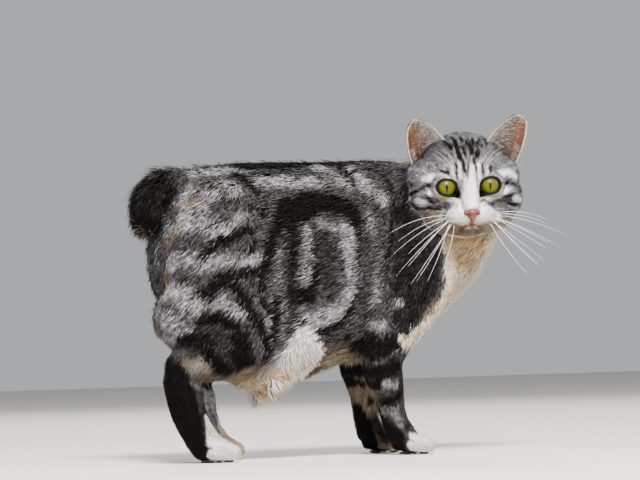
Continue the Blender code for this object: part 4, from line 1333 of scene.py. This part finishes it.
coat_material()
skin = whole_skin()
open_eyes(skin)
body_points = as_rows(points_of(skin.data), FRAME_TO_BODY)
edges = edges_of(skin.data)
parts = nearest_part(points_of(skin.data), ALL_NODES)
body_points, grooves = toes(skin, body_points, parts)
normals = normals_of(skin.data)
coat = spread(np.array([of_part(COAT, n) for n in ALL_NODES], float)[parts], edges, COAT_ROUNDS)
lie = spread(lie_of(body_points, parts), edges, LIE_ROUNDS)
shift = spread(twin_shift(parts), edges, SHIFT_ROUNDS)
skin_tree = BVHTree.FromPolygons([Vector(p) for p in body_points], [p.vertices for p in skin.data.polygons])
groups = all_links(skin_tree)

# The fluff under the belly, on both sides of it
fluff_links = laid(skin_tree, FLUFF_SIDE, SIDE_RIGHT, UP, SIDE_LOOK)
twin = body_points * (1, -1, 1) + shift
fluff = np.maximum(depth_in(body_points, fluff_links), depth_in(twin, fluff_links))
fluff = smooth_step(fluff, -6, 8)[:, None]
lie = lie * (1 - fluff) + np.array(FLUFF_LIE) * fluff
coat = coat + fluff * FLUFF_MORE

# No hair on the soles or in the eyes
head_points = as_rows(body_points, HEAD.inverted())
bare = (normals[:, 2] < -0.75) & (body_points[:, 2] < 5)
for eye_side in (-1, 1):
    bare |= share_of_opening(eye_frame(head_points, eye_side))[0] < BARE_SHARE
coat[bare, 3] = 0

skin_marks = dict(zip(MARKS, tones(body_points, normals, shift, parts, groups, 0.0)))
# Painted shade on the skin, as deep under the coat, except where it is white
skin_marks["along"] = np.full(len(parts), SKIN_SHADE_ALONG)
skin_marks["shade"] = 1 - (1 - SKIN_PAINTED_SHADE) * (1 - skin_marks["white"])
for key, values in skin_marks.items():
    set_values(skin.data, key, values)

draw = np.random.default_rng(8)
corners, weights = roots_on(skin, coat[:, 3], 3)
root = at_roots(body_points, corners, weights)
normal = unit(at_roots(normals, corners, weights))
way = unit(at_roots(lie, corners, weights))
sway = np.stack([waves(root, 14, 20 + k) for k in range(3)], axis=1)
way = way + 0.16 * sway + 0.10 * draw.normal(size=way.shape)
way = unit(way - normal * np.sum(way * normal, axis=1)[:, None])
length, width, rise = at_roots(coat, corners, weights)[:, :3].T
length = length * draw.uniform(0.75, 1.1, len(length))
rise = rise * draw.uniform(0.6, 1.02, len(rise)) * (1 + 0.12 * waves(root, 11, 31))
width = width * draw.uniform(0.8, 1.2, len(width))
rise = rise * np.where((draw.random(len(rise)) < STRAY_SHARE) & (length > STRAY_LENGTH), STRAY_RISE, 1.0)
# Where each tuft shows, further or less far along the lie, so that the marks end in streaks
ahead = (0.5 + 0.16 * draw.normal(size=len(root))) * length
seen = root + way * ahead[:, None] + normal * (0.7 * rise)[:, None]
tuft_parts = parts[corners[:, 0]]
drop = root[:, 2] - (root + way * length[:, None] + normal * rise[:, None])[:, 2]
cut = np.clip((root[:, 2] - FLOOR_GAP) / np.maximum(drop, 0.01), SHORTEST, 1)
length = length * np.where(drop > 0, cut, 1)
tufts = {
    "root": root, "normal": normal, "way": way, "length": length, "width": width, "rise": rise,
    "sink": np.full(len(root), 0.5), "shade": draw.uniform(0.88, 1.12, len(root)),
}
tuft_grain = 0.4 * draw.normal(size=len(root))
tuft_marks = tones(seen, normal, at_roots(shift, corners, weights), tuft_parts, groups, tuft_grain)
tufts.update(zip(MARKS, tuft_marks))
tuft_fluff = at_roots(fluff[:, 0], corners, weights)
tufts["dark"] *= 1 - tuft_fluff
tufts["white"] = np.maximum(tufts["white"], 0.9 * tuft_fluff)

# The hair lies in clumps of a lighter and a darker shade, less so where it is white
grey = 1 - 0.7 * tufts["white"]
tufts["shade"] *= 1 + 0.3 * draw.uniform(-1, 1, len(root)) * grey
clumps = 0.5 * streaks(root, way, 0.6 * length, 1.3, 53) + 0.5 * streaks(root, way, 0.9 * length, 2.2, 51)
clumps += 0.5 * streaks(root, way, 1.2 * length, 4.5, 52)
# Hair in the grooves between the toes is painted up to about a third darker: painted shade in the creases.
tufts["shade"] *= (1 + 0.42 * clumps * grey) * (1 - 0.35 * at_roots(grooves, corners, weights))
tufts["pale"] = np.clip(tufts["pale"] * (1 + 0.45 * clumps), 0, 1)
for name, nodes in COAT_PIECES.items():
    chosen = np.isin(tuft_parts, [ALL_NODES.index(n) for n in nodes])
    if nodes == ("belly",):
        chosen &= (root[:, 1] > 0) == name.endswith("left")
    rows = 1 if name.startswith(SHORT_COAT) else 2
    tuft_piece(name, tufts, chosen, rows)


# Eyes, rims of the lids, nose, ears, whiskers and claws

# Each ear in the head's frame: its inner root, the back of its root, its outer root and its tip
EARS = {
    "left": ((18, 33, 15), (36, 18, -32), (50, 17, -2), (56, 58.8, -6)),
    "right": ((14, 34, 15), (31, 19, -32), (46, 18, -2), (42, 58.8, -6)),
}
EAR_TIP_RADIUS = 5.5
EAR_BULGE = 4.0
EAR_GRID = (44, 34)
# How far the ear reaches below its root, in shares of its height, and how thick its edge and its inside are
EAR_BELOW = -0.06
EAR_THICK = (0.6, 1.7)
# Radius of the iris, and of the curve of the cornea over it
IRIS = 8.6
CORNEA = 9.6


def finished(piece, material, replaced=()):
    """Dresses a piece, smooth, riding on the body."""
    piece.data.materials.clear()
    piece.data.materials.append(bpy.data.materials[material])
    piece.data.shade_smooth()
    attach(piece, "root")
    if replaced:
        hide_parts(*replaced)


def lathe(name, profile, matrix, sides):
    """A closed round body from (radius, forward) rows, the first and last on its axis."""
    turns = np.arange(sides) * 2 * math.pi / sides
    inner = profile[1:-1]
    rings = [np.stack([r * np.cos(turns), r * np.sin(turns), np.full(sides, z)], axis=1) for r, z in inner]
    points = np.concatenate([[(0, 0, profile[0][1])], *rings, [(0, 0, profile[-1][1])]])
    k = np.arange(sides)
    nxt = (k + 1) % sides
    quads = [np.stack([1 + j * sides + k, 1 + j * sides + nxt, 1 + (j + 1) * sides + nxt,
                       1 + (j + 1) * sides + k], axis=1) for j in range(len(inner) - 1)]
    last = 1 + (len(inner) - 1) * sides
    caps = np.concatenate([np.stack([np.zeros(sides, int), nxt + 1, k + 1], axis=1),
                           np.stack([np.full(sides, len(points) - 1), last + k, last + nxt], axis=1)])
    return array_mesh(name, as_rows(points, matrix), [np.concatenate(quads), caps]), points


def eye(side, word):
    """An eyeball with its bulging cornea; its paint reads how far a point is across and up."""
    rim = math.asin(IRIS / EYE_RADIUS)
    drop = EYE_RADIUS * math.cos(rim) - math.sqrt(CORNEA**2 - IRIS**2)
    profile = [(EYE_RADIUS * math.sin(a), EYE_RADIUS * math.cos(a)) for a in np.linspace(math.pi, rim, 26)]
    front = math.asin(IRIS / CORNEA)
    profile += [(CORNEA * math.sin(a), drop + CORNEA * math.cos(a)) for a in np.linspace(front, 0, 30)[1:]]
    place = HEAD_TO_FRAME @ Matrix.Translation(Vector(mirrored(EYE_PLACE, side)))
    place = place @ Matrix.Rotation(math.radians(-4), 4, "Y")
    piece, points = lathe(f"eyeball_{word}", profile, place, 72)
    for key, values in (("across", points[:, 0]), ("up", points[:, 1]), ("forward", points[:, 2])):
        set_values(piece.data, key, values)
    finished(piece, "wet_eye", [f"eye_{word}"])


def along_line(line, radii, sides=8):
    """A round bar along points in the frame, closed where the line is."""
    line = np.asarray(line, float)
    closed = np.allclose(line[0], line[-1])
    if closed:
        line, radii = line[:-1], radii[:-1]
        tangent = unit(np.roll(line, -1, axis=0) - np.roll(line, 1, axis=0))
    else:
        tangent = unit(np.gradient(line, axis=0))
    across = np.cross(tangent, (0.0, 0.0, 1.0))
    across = unit(np.where(np.linalg.norm(across, axis=1)[:, None] > 0.05, across, (0.0, 1.0, 0.0)))
    up = np.cross(across, tangent)
    turns = np.arange(sides) * 2 * math.pi / sides
    rings = line[:, None] + np.asarray(radii)[:, None, None] * (
        across[:, None] * np.cos(turns)[None, :, None] + up[:, None] * np.sin(turns)[None, :, None])
    count = len(line)
    j = np.arange(count if closed else count - 1)[:, None]
    k = np.arange(sides)[None]
    one, two = j * sides, ((j + 1) % count) * sides
    quads = np.stack([one + k, two + k, two + (k + 1) % sides, one + (k + 1) % sides], axis=2).reshape(-1, 4)
    points = rings.reshape(-1, 3)
    if closed:
        return points, quads, np.zeros((0, 3), int)
    points = np.concatenate([points, line[:1], line[-1:]])
    ring = np.arange(sides)
    first = np.stack([np.full(sides, count * sides), ring, (ring + 1) % sides], axis=1)
    end = (count - 1) * sides
    last = np.stack([np.full(sides, count * sides + 1), end + (ring + 1) % sides, end + ring], axis=1)
    return points, quads, np.concatenate([first, last])


def many(name, shapes):
    """One object from many (points, quads, triangles)."""
    points, quads, tris, base = [], [], [], 0
    for p, q, t in shapes:
        points.append(p)
        quads.append(q + base)
        tris.append(t + base)
        base += len(p)
    groups_of = [np.concatenate(quads)]
    if sum(len(t) for t in tris):
        groups_of.append(np.concatenate(tris))
    return array_mesh(name, np.concatenate(points), groups_of)


# Radius of the rims of the lids
RIM_RADIUS = 0.95


def lid_rims():
    """The dark bare edges of the lids."""
    shapes = []
    turns = np.linspace(-math.pi, math.pi, 97)
    for side in (-1, 1):
        edge = opening_edge(turns) + 0.15
        depth = np.sqrt(np.maximum(LID_RADIUS**2 - edge**2, 9)) - 0.15
        line = np.stack([edge * np.cos(turns), edge * np.sin(turns), depth], axis=1)
        line = (line + EYE_PLACE) * (side, 1, 1)
        shapes.append(along_line(as_rows(line, HEAD_TO_FRAME), np.full(97, RIM_RADIUS * MM)))
    finished(many("lid_rims", shapes), "rim_skin")


# Centres and radii of the tip, the two wings, the groove's end and the root of the nose leather
NOSE_BALLS = (
    ((0, -24.5, 49.2), (5.2, 3.9, 5.4)),
    ((5.0, -24.6, 47.2), (3.1, 2.7, 5.0)),
    ((-5.0, -24.6, 47.2), (3.1, 2.7, 5.0)),
    ((0, -28.9, 48.0), (2.8, 4.3, 5.0)),
    ((0, -25, 44.5), (6.5, 5.0, 6.0)),
)
NOSE_VOXEL = 0.4


def nose():
    """The nose leather with its two comma-shaped nostrils and the groove below."""
    pieces = [ball("nose_ball", centre, radii, HEAD_TO_FRAME) for centre, radii in NOSE_BALLS]
    piece = skinned(joined("nose_leather", pieces), NOSE_VOXEL, 5)
    local = as_rows(points_of(piece.data), FRAME_TO_HEAD)
    x, y, z = np.abs(local[:, 0]), local[:, 1], local[:, 2]
    front = z > 45
    hole = np.exp(-((x - 3.9) / 1.3) ** 2 - ((y + 26.3) / 1.0) ** 2)
    slit = np.exp(-((x - 6.2) / 1.6) ** 2 - ((y + 27.3 - 0.35 * (x - 6.2)) / 0.55) ** 2)
    groove = np.exp(-(x / 0.5) ** 2) * smooth_step(-y, 24, 26)
    local[:, 2] -= front * (2.3 * hole + 1.3 * slit + 0.7 * groove)
    set_points(piece.data, as_rows(local, HEAD_TO_FRAME))
    # The hole attribute marks the nostrils for painted shade.
    set_values(piece.data, "hole", np.clip(1.3 * hole + 1.1 * slit, 0, 1) * front)
    set_values(piece.data, "edge", smooth_step(-z, -50.5, -47))
    finished(piece, "nose_skin", ["nose"])


def ear_sheet(side):
    """Points of the ear's middle surface: rows from root to tip, columns from inner to outer edge."""
    corners_here = EARS["left" if side > 0 else "right"]
    inner, back, outer, tip = (np.array(mirrored(p, side), float) for p in corners_here)
    spread_by = np.array((side * EAR_TIP_RADIUS, -0.5 * EAR_TIP_RADIUS, 0))
    rows, columns = EAR_GRID
    v = np.linspace(EAR_BELOW, 1, rows)[:, None, None]
    t = np.linspace(0, 1, columns)[None, :, None]
    root = inner * (1 - t) ** 2 + back * 2 * t * (1 - t) + outer * t * t
    bow = np.sin(math.pi * t)
    top = tip + spread_by * (2 * t - 1) + bow * np.array((0, 3.0, -2.5))
    points = root + (top - root) * v
    swell = EAR_BULGE * np.sin(math.pi * np.clip(v, 0, 1)) ** 0.8
    points = points + np.concatenate([side * (2 * t - 1.15), 0.35 + 0 * t, 0 * t], axis=2) * swell
    fold = 1.2 * np.exp(-((t - 0.88) / 0.06) ** 2) * smooth_step(-v, -0.42, -0.1)
    return points + fold * np.array((0, 0, 1.0))


def grid_normals(points):
    along, across = np.gradient(points, axis=0), np.gradient(points, axis=1)
    turned = np.cross(across, along)
    return turned / np.linalg.norm(turned, axis=2)[:, :, None]


def ear(side, word):
    """A thin cupped ear; its paint reads how far up and across a point is, and whether it is inside."""
    middle_sheet = ear_sheet(side)
    normal = grid_normals(middle_sheet) * side
    rows, columns = EAR_GRID
    v = np.linspace(EAR_BELOW, 1, rows)[:, None]
    t = np.linspace(0, 1, columns)[None]
    rim = np.minimum(np.minimum(t, 1 - t) / 0.12, (1 - v) / 0.1).clip(0, 1)
    thick = (EAR_THICK[0] + (EAR_THICK[1] - EAR_THICK[0]) * rim)[:, :, None]
    front, rear = middle_sheet + normal * thick / 2, middle_sheet - normal * thick / 2
    index = np.arange(rows * columns).reshape(rows, columns)
    quads = []
    for base, flip in ((0, False), (rows * columns, True)):
        a, b, c, d = index[:-1, :-1], index[:-1, 1:], index[1:, 1:], index[1:, :-1]
        order = (a, b, c, d) if flip == (side > 0) else (d, c, b, a)
        quads.append(np.stack([q.ravel() for q in order], axis=1) + base)
    loop = np.concatenate([index[0], index[1:, -1], index[-1, -2::-1], index[-2:0:-1, 0]])
    other = np.roll(loop, -1)
    order = (loop, other, other + rows * columns, loop + rows * columns)
    quads.append(np.stack(order if side > 0 else order[::-1], axis=1))
    points = np.concatenate([front.reshape(-1, 3), rear.reshape(-1, 3)])
    piece = array_mesh(f"ear_cup_{word}", as_rows(points, HEAD_TO_FRAME), np.concatenate(quads))
    inside = np.concatenate([np.ones(rows * columns), np.zeros(rows * columns)])
    set_values(piece.data, "inside", inside)
    for key, share in (("across", t), ("up", v)):
        set_values(piece.data, key, np.tile(np.broadcast_to(share, (rows, columns)).ravel(), 2))
    finished(piece, "ear_inside", [f"ear_{word}"])
    return middle_sheet, normal


def on_sheet(sheet, v, t):
    """Values of a grid at shares v of its rows and t of its columns."""
    rows, columns = sheet.shape[:2]
    i, j = v * (rows - 1), t * (columns - 1)
    i0, j0 = np.minimum(i.astype(int), rows - 2), np.minimum(j.astype(int), columns - 2)
    a, b = (i - i0)[:, None], (j - j0)[:, None]
    return ((sheet[i0, j0] * (1 - b) + sheet[i0, j0 + 1] * b) * (1 - a)
            + (sheet[i0 + 1, j0] * (1 - b) + sheet[i0 + 1, j0 + 1] * b) * a)


# How dark, white and warm the fringe of the ear is
FRINGE = (0.0, 0.5, 0.7)


def ear_coat(word, sheet, normal, draw):
    """Short fur on the ear's back, a pale fringe round its edge and long hairs across its inside."""
    turn = np.array(HEAD)[:3, :3]
    up_way, across_way = np.gradient(sheet, axis=0), np.gradient(sheet, axis=1)
    kinds = []

    def add(count, v, t, sign, up_by, across_by, length, width, rise, values, sway=0.15):
        n = unit(on_sheet(normal, v, t)) * sign
        way = up_by * unit(on_sheet(up_way, v, t)) + across_by * unit(on_sheet(across_way, v, t))
        way = way + sway * draw.normal(size=way.shape)
        way = unit(way - n * np.sum(way * n, axis=1)[:, None])
        size = draw.uniform(0.8, 1.15, count)
        part = {
            "root": on_sheet(sheet, v, t) + n * 0.5, "normal": n, "way": way, "length": length * size,
            "width": np.full(count, width), "rise": rise * draw.uniform(0.6, 1.1, count),
            "sink": np.full(count, 0.3), "shade": draw.uniform(0.85, 1.15, count),
        }
        for key, value in zip(MARKS, (*values, 0.8)):
            part[key] = np.full(count, value) if np.isscalar(value) else value
        kinds.append(part)

    # Short fur on the back
    count = 3600
    v, t = draw.uniform(0.0, 0.92, count), draw.uniform(0.04, 0.96, count)
    back_dark = 0.75 * smooth_step(np.abs(t - 0.5) + 0.25 * v, 0.12, 0.45) + 0.15
    add(count, v, t, -1, 1.0, 0.0, 4.2, 0.5, 1.0, (back_dark, 0.0, 0.15))
    # The fringe, along both edges and round the tip
    count = 1500
    v, t = draw.uniform(0.0, 0.97, count), draw.uniform(0.0, 0.05, count)
    outer = draw.random(count) < 0.5
    t = np.where(outer, 1 - t, t)
    add(count, v, t, 1, 0.9, np.where(outer, 0.5, -0.5)[:, None], 1.8, 0.3, 0.4, FRINGE)
    count = 110
    v, t = draw.uniform(0.93, 1.0, count), draw.uniform(0.0, 1.0, count)
    add(count, v, t, 1, 1.0, 0.0, 1.6, 0.3, 0.4, FRINGE)
    # Long hairs from the inner edge across the inside, and a few from the outer edge
    count = 1700
    v = draw.uniform(0.04, 0.92, count)
    t = 0.72 * draw.uniform(0.02, 1.0, count) ** 1.3
    long = (16.0 * (1 - v) + 5.0) * draw.uniform(0.5, 1.15, count)
    add(count, v, t, 1, 0.12, 1.0, long, 0.14, 2.0 * (1 - 0.6 * v), (0.0, 0.32, 0.35), 0.13)
    count = 100
    v, t = draw.uniform(0.02, 0.40, count), draw.uniform(0.86, 0.98, count)
    add(count, v, t, 1, 0.5, -0.8, 6.0, 0.14, 2.0, (0.0, 0.15, 0.6), 0.14)
    merged = {key: np.concatenate([part[key] for part in kinds]) for key in kinds[0]}
    merged["root"] = as_rows(merged["root"], HEAD)
    for key in ("normal", "way"):
        merged[key] = merged[key] @ turn.T
    tuft_piece(f"coat_ear_{word}", merged, np.ones(len(merged["root"]), bool), 2)


# The line of the mouth and the groove above it, seen from in front of the head
MOUTH_HALF = ((0, -34.8), (5, -36.6), (10, -36.9), (15, -35.8), (19, -34.2))
MOUTH = (*(mirrored((x, y, 0), -1)[:2] for x, y in MOUTH_HALF[:0:-1]), *MOUTH_HALF)
LIP_GROOVE = ((0, -31.5), (0, -33.0), (0, -34.8))
# How far the line stands before the skin, to show in the fur, and its half width
LIP_OUT = 0.9
LIP_RADIUS = 0.65


def mouth(tree):
    """The dark bare line between the lips, and the groove from it up to the nose."""
    turn = HEAD.to_3x3()
    shapes = []
    for line in (MOUTH, LIP_GROOVE):
        spots = []
        for x, y in line:
            start = HEAD @ Vector((x, y, 90))
            spots.append(np.array(tree.ray_cast(start, turn @ Vector((0, 0, -1)))[0]))
        steps = np.linspace(0, len(spots) - 1, 6 * len(spots))
        whole = [np.interp(steps, range(len(spots)), column) for column in np.array(spots).T]
        whole = np.stack(whole, axis=1)
        taper = np.sin(np.linspace(0.12, math.pi - 0.12, len(whole))) ** 0.5
        whole += np.array(turn @ Vector((0, 0, LIP_OUT)))
        shapes.append(along_line(as_rows(whole, BODY_TO_FRAME), LIP_RADIUS * MM * taper))
    finished(many("mouth_line", shapes), "lip_skin")


# How steeply the top and the bottom whisker of each side stand over the level, in degrees
WHISKER_FALL = {1: (12.0, -66.0), -1: (6.0, -80.0)}
WHISKERS = 10
WHISKER_LENGTHS = (50, 65)
BROW_HAIRS = 3
TIP_RADIUS = 0.035


def whiskers():
    """Long hairs from the pads of the muzzle and finer ones over the eyes, thin to their tips."""
    draw = np.random.default_rng(5)
    shapes = []
    shares = np.linspace(0, 1, 15)[:, None]

    def add(root, way, bend, length, radii, sides):
        line = root + (unit(way[None])[0] * shares + bend * shares**2) * length
        shapes.append(along_line(as_rows(line, HEAD_TO_FRAME), (radii + TIP_RADIUS) * MM, sides))

    for side in (-1, 1):
        high, low = WHISKER_FALL[side]
        for k in range(WHISKERS):
            share = k / (WHISKERS - 1)
            fall = math.radians(high + (low - high) * share + draw.uniform(-4, 4))
            root = np.array((side * (15.5 + 3.5 * (k % 3) * 0.6), -27.0 - 5.0 * share, 42.0 - 1.5 * (k % 3)))
            way = np.array((side * math.cos(fall), math.sin(fall), 0.18 + 0.14 * (k % 2) + 0.2 * share))
            bend = np.array((side * 0.16 * share, -0.34 * (1 - share), 0))
            add(root, way, bend, draw.uniform(*WHISKER_LENGTHS), 0.12 * (1 - shares[:, 0]) ** 0.8, 6)
        for k in range(BROW_HAIRS):
            root = np.array((side * (11 + 2.5 * k), 14.5 + 0.6 * k, 34.0 - 1.5 * k))
            way = np.array((side * (0.25 + 0.22 * k), 1.0, 0.55))
            add(root, way, np.array((side * 0.25, -0.1, 0)), 26 - 2 * k, 0.08 * (1 - shares[:, 0]), 5)
    finished(many("whiskers", shapes), "whisker_horn")


# Pads of a paw: how far ahead in lengths, across in half widths, half length and half width in millimetres
PADS = ((-0.10, 0.0, 6.2, 6.0), (0.20, -0.52, 3.0, 2.2), (0.29, -0.18, 3.1, 2.3), (0.29, 0.18, 3.1, 2.3),
        (0.20, 0.52, 3.0, 2.2))
PAD_HEIGHT = 1.5
# Where the claws are across the paw, in half widths, and how high
CLAWS = (-0.72, -0.25, 0.25, 0.72)
CLAW_HEIGHT = 5.2


def paw_ends():
    """The pads that the paws stand on, and the tip of a claw over each toe."""
    pads, claws = [], []
    shares = np.linspace(0, 1, 7)[:, None]
    for _, low, high, half in paws():
        centre = (low + high) / 2
        for ahead, across, long, wide in PADS:
            place = (centre[0] + ahead * (high[0] - low[0]), centre[1] + across * half, PAD_HEIGHT + 0.1)
            pads.append(ball("pad", place, (long, wide, PAD_HEIGHT), BODY_TO_FRAME, 24))
        for across in CLAWS:
            start = Vector((high[0] + 20, centre[1] + across * half, CLAW_HEIGHT))
            hit = skin_tree.ray_cast(start, Vector((-1, 0, 0)))[0]
            if hit is None:
                continue
            root = np.array(hit) + (-1.5, 0, 0.4)
            line = root + np.array((4.2, 0, -0.2)) * shares + np.array((0, 0, -1.5)) * shares**2
            radii = 0.75 * (1 - shares[:, 0]) ** 0.7 + 0.08
            claws.append(along_line(as_rows(line, BODY_TO_FRAME), radii * MM))
    finished(joined("paw_pads", pads), "pad_skin")
    finished(many("claws", claws), "claw_horn")


# Tones of the iris by their share of its radius: the first and the last, then those between them
IRIS_TONES = {
    0.12: (0.17, 0.18, 0.0), 1.0: (0.012, 0.014, 0.008),
    0.35: (0.24, 0.245, 0.0), 0.70: (0.19, 0.21, 0.0), 0.88: (0.06, 0.07, 0.012),
}
LID_SHADOW = (0.03, 0.035, 0.02)
PUPIL_TONE = (0.004, 0.004, 0.004)
PUPIL_HALF_HEIGHT = 5.0
PUPIL_HALF_WIDTH = 1.05


def eye_material():
    """Wet eye: yellow-green iris with fine rays, a thin upright pupil and a dark ring round it."""
    made, shader = new_material("wet_eye")
    tree = made.node_tree
    across, up = attribute(tree, "across"), attribute(tree, "up")
    place = node(tree, "ShaderNodeCombineXYZ")
    tree.links.new(across, place.inputs[0])
    tree.links.new(up, place.inputs[1])
    distance = node(tree, "ShaderNodeVectorMath", operation="LENGTH")
    tree.links.new(place.outputs[0], distance.inputs[0])
    ray_place = node(tree, "ShaderNodeVectorMath", operation="NORMALIZE")
    tree.links.new(place.outputs[0], ray_place.inputs[0])
    ray = node(tree, "ShaderNodeTexNoise", in_2=14.0, in_3=3.0)
    tree.links.new(ray_place.outputs[0], ray.inputs["Vector"])
    body = node(tree, "ShaderNodeValToRGB")
    stops = body.color_ramp.elements
    for k, (position, tone) in enumerate(IRIS_TONES.items()):
        stop = stops[k] if k < 2 else stops.new(position)
        stop.position, stop.color = position, (*tone, 1)
    tree.links.new(maths(tree, "DIVIDE", distance.outputs["Value"], IRIS), body.inputs[0])
    rays = maths(tree, "MULTIPLY_ADD", ray.outputs["Fac"], 0.36, 0.14)
    shaded = ranged(tree, up, 2.0, 7.0, 0.0, 0.55)
    iris = mixed(tree, shaded, scaled(tree, body.outputs[0], rays), LID_SHADOW)
    squeeze = maths(tree, "DIVIDE", up, PUPIL_HALF_HEIGHT)
    wide = maths(tree, "SUBTRACT", 1.0, maths(tree, "MULTIPLY", squeeze, squeeze))
    slit = maths(tree, "MULTIPLY", wide, PUPIL_HALF_WIDTH)
    slit = maths(tree, "SUBTRACT", slit, maths(tree, "ABSOLUTE", across))
    colour = mixed(tree, ranged(tree, slit, -0.12, 0.12), iris, PUPIL_TONE)
    surface(tree, shader, colour, 0.4, specular=0.08, coat=0.18, coat_roughness=0.06)


def plain_material(name, dark_tone, tone, size, roughness, depth, coat_weight=0.0):
    """A tone with finer and darker patches, and a fine grain."""
    made, shader = new_material(name)
    tree = made.node_tree
    surface(tree, shader, mixed(tree, noise(tree, size), dark_tone, tone), roughness, coat=coat_weight)
    bumpy(tree, shader, noise(tree, size / 3), depth, 0.4)
    return shader


def nose_material():
    """Brick-pink leather, pebbled, with painted shade darkening the nostrils, and paler where it meets the
    fur.
    """
    made, shader = new_material("nose_skin")
    tree = made.node_tree
    tone = mixed(tree, noise(tree, 0.004), (0.12, 0.013, 0.008), (0.19, 0.028, 0.016))
    tone = mixed(tree, attribute(tree, "edge"), tone, (0.22, 0.05, 0.03))
    # Painted shade darkens the nostrils.
    tone = mixed(tree, attribute(tree, "hole"), tone, (0.05, 0.012, 0.01))
    surface(tree, shader, tone, 0.42, coat=0.25, coat_roughness=0.2)
    pebbles = node(tree, "ShaderNodeTexVoronoi", in_2=1800.0)
    tree.links.new(node(tree, "ShaderNodeTexCoord").outputs["Object"], pebbles.inputs["Vector"])
    bumpy(tree, shader, pebbles.outputs["Distance"], 0.0003, 0.35)


def ear_material():
    """Thin skin: warm orange-pink inside, with painted shade darkening it low down in the cup, and faint
    veins; grey under the fur behind.
    """
    made, shader = new_material("ear_inside")
    tree = made.node_tree
    up, across, inside = (attribute(tree, key) for key in ("up", "across", "inside"))
    base = mixed(tree, noise(tree, 0.008), (0.03, 0.010, 0.006), (0.06, 0.022, 0.011))
    base = mixed(tree, ranged(tree, across, 0.45, 0.95, 0.0, 0.55), base, (0.075, 0.024, 0.005))
    # Painted shade low in the ear's cup, near black towards its root.
    base = mixed(tree, ranged(tree, up, 0.55, 0.1, 0.0, 0.92), base, (0.010, 0.004, 0.003))
    surface(tree, shader, mixed(tree, inside, (0.10, 0.09, 0.09), base), 0.5)
    bumpy(tree, shader, noise(tree, 0.0025), 0.0005, 0.4)


eye_material()
nose_material()
ear_material()
rim_shader = plain_material("rim_skin", (0.002, 0.002, 0.002), (0.007, 0.006, 0.005), 0.002, 0.6, 0.0002)
rim_shader.inputs["Specular IOR Level"].default_value = 0.08
plain_material("lip_skin", (0.05, 0.018, 0.012), (0.12, 0.045, 0.03), 0.002, 0.4, 0.0002, 0.3)
plain_material("pad_skin", (0.05, 0.034, 0.03), (0.09, 0.06, 0.054), 0.002, 0.55, 0.0003)
plain_material("claw_horn", (0.45, 0.36, 0.28), (0.62, 0.53, 0.44), 0.003, 0.3, 0.0001, 0.3)
plain_material("whisker_horn", (0.80, 0.79, 0.77), (0.92, 0.91, 0.89), 0.004, 0.4, 0.00005)
ear_draw = np.random.default_rng(21)
for side, word in ((1, "left"), (-1, "right")):
    eye(side, word)
    ear_coat(word, *ear(side, word), ear_draw)
lid_rims()
nose()
mouth(skin_tree)
whiskers()
paw_ends()

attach(skin, "root")
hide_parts(*BODY_NODES, *HEAD_NODES, "tail")
skin.data.materials.append(bpy.data.materials["coat"])
skin.data.shade_smooth()
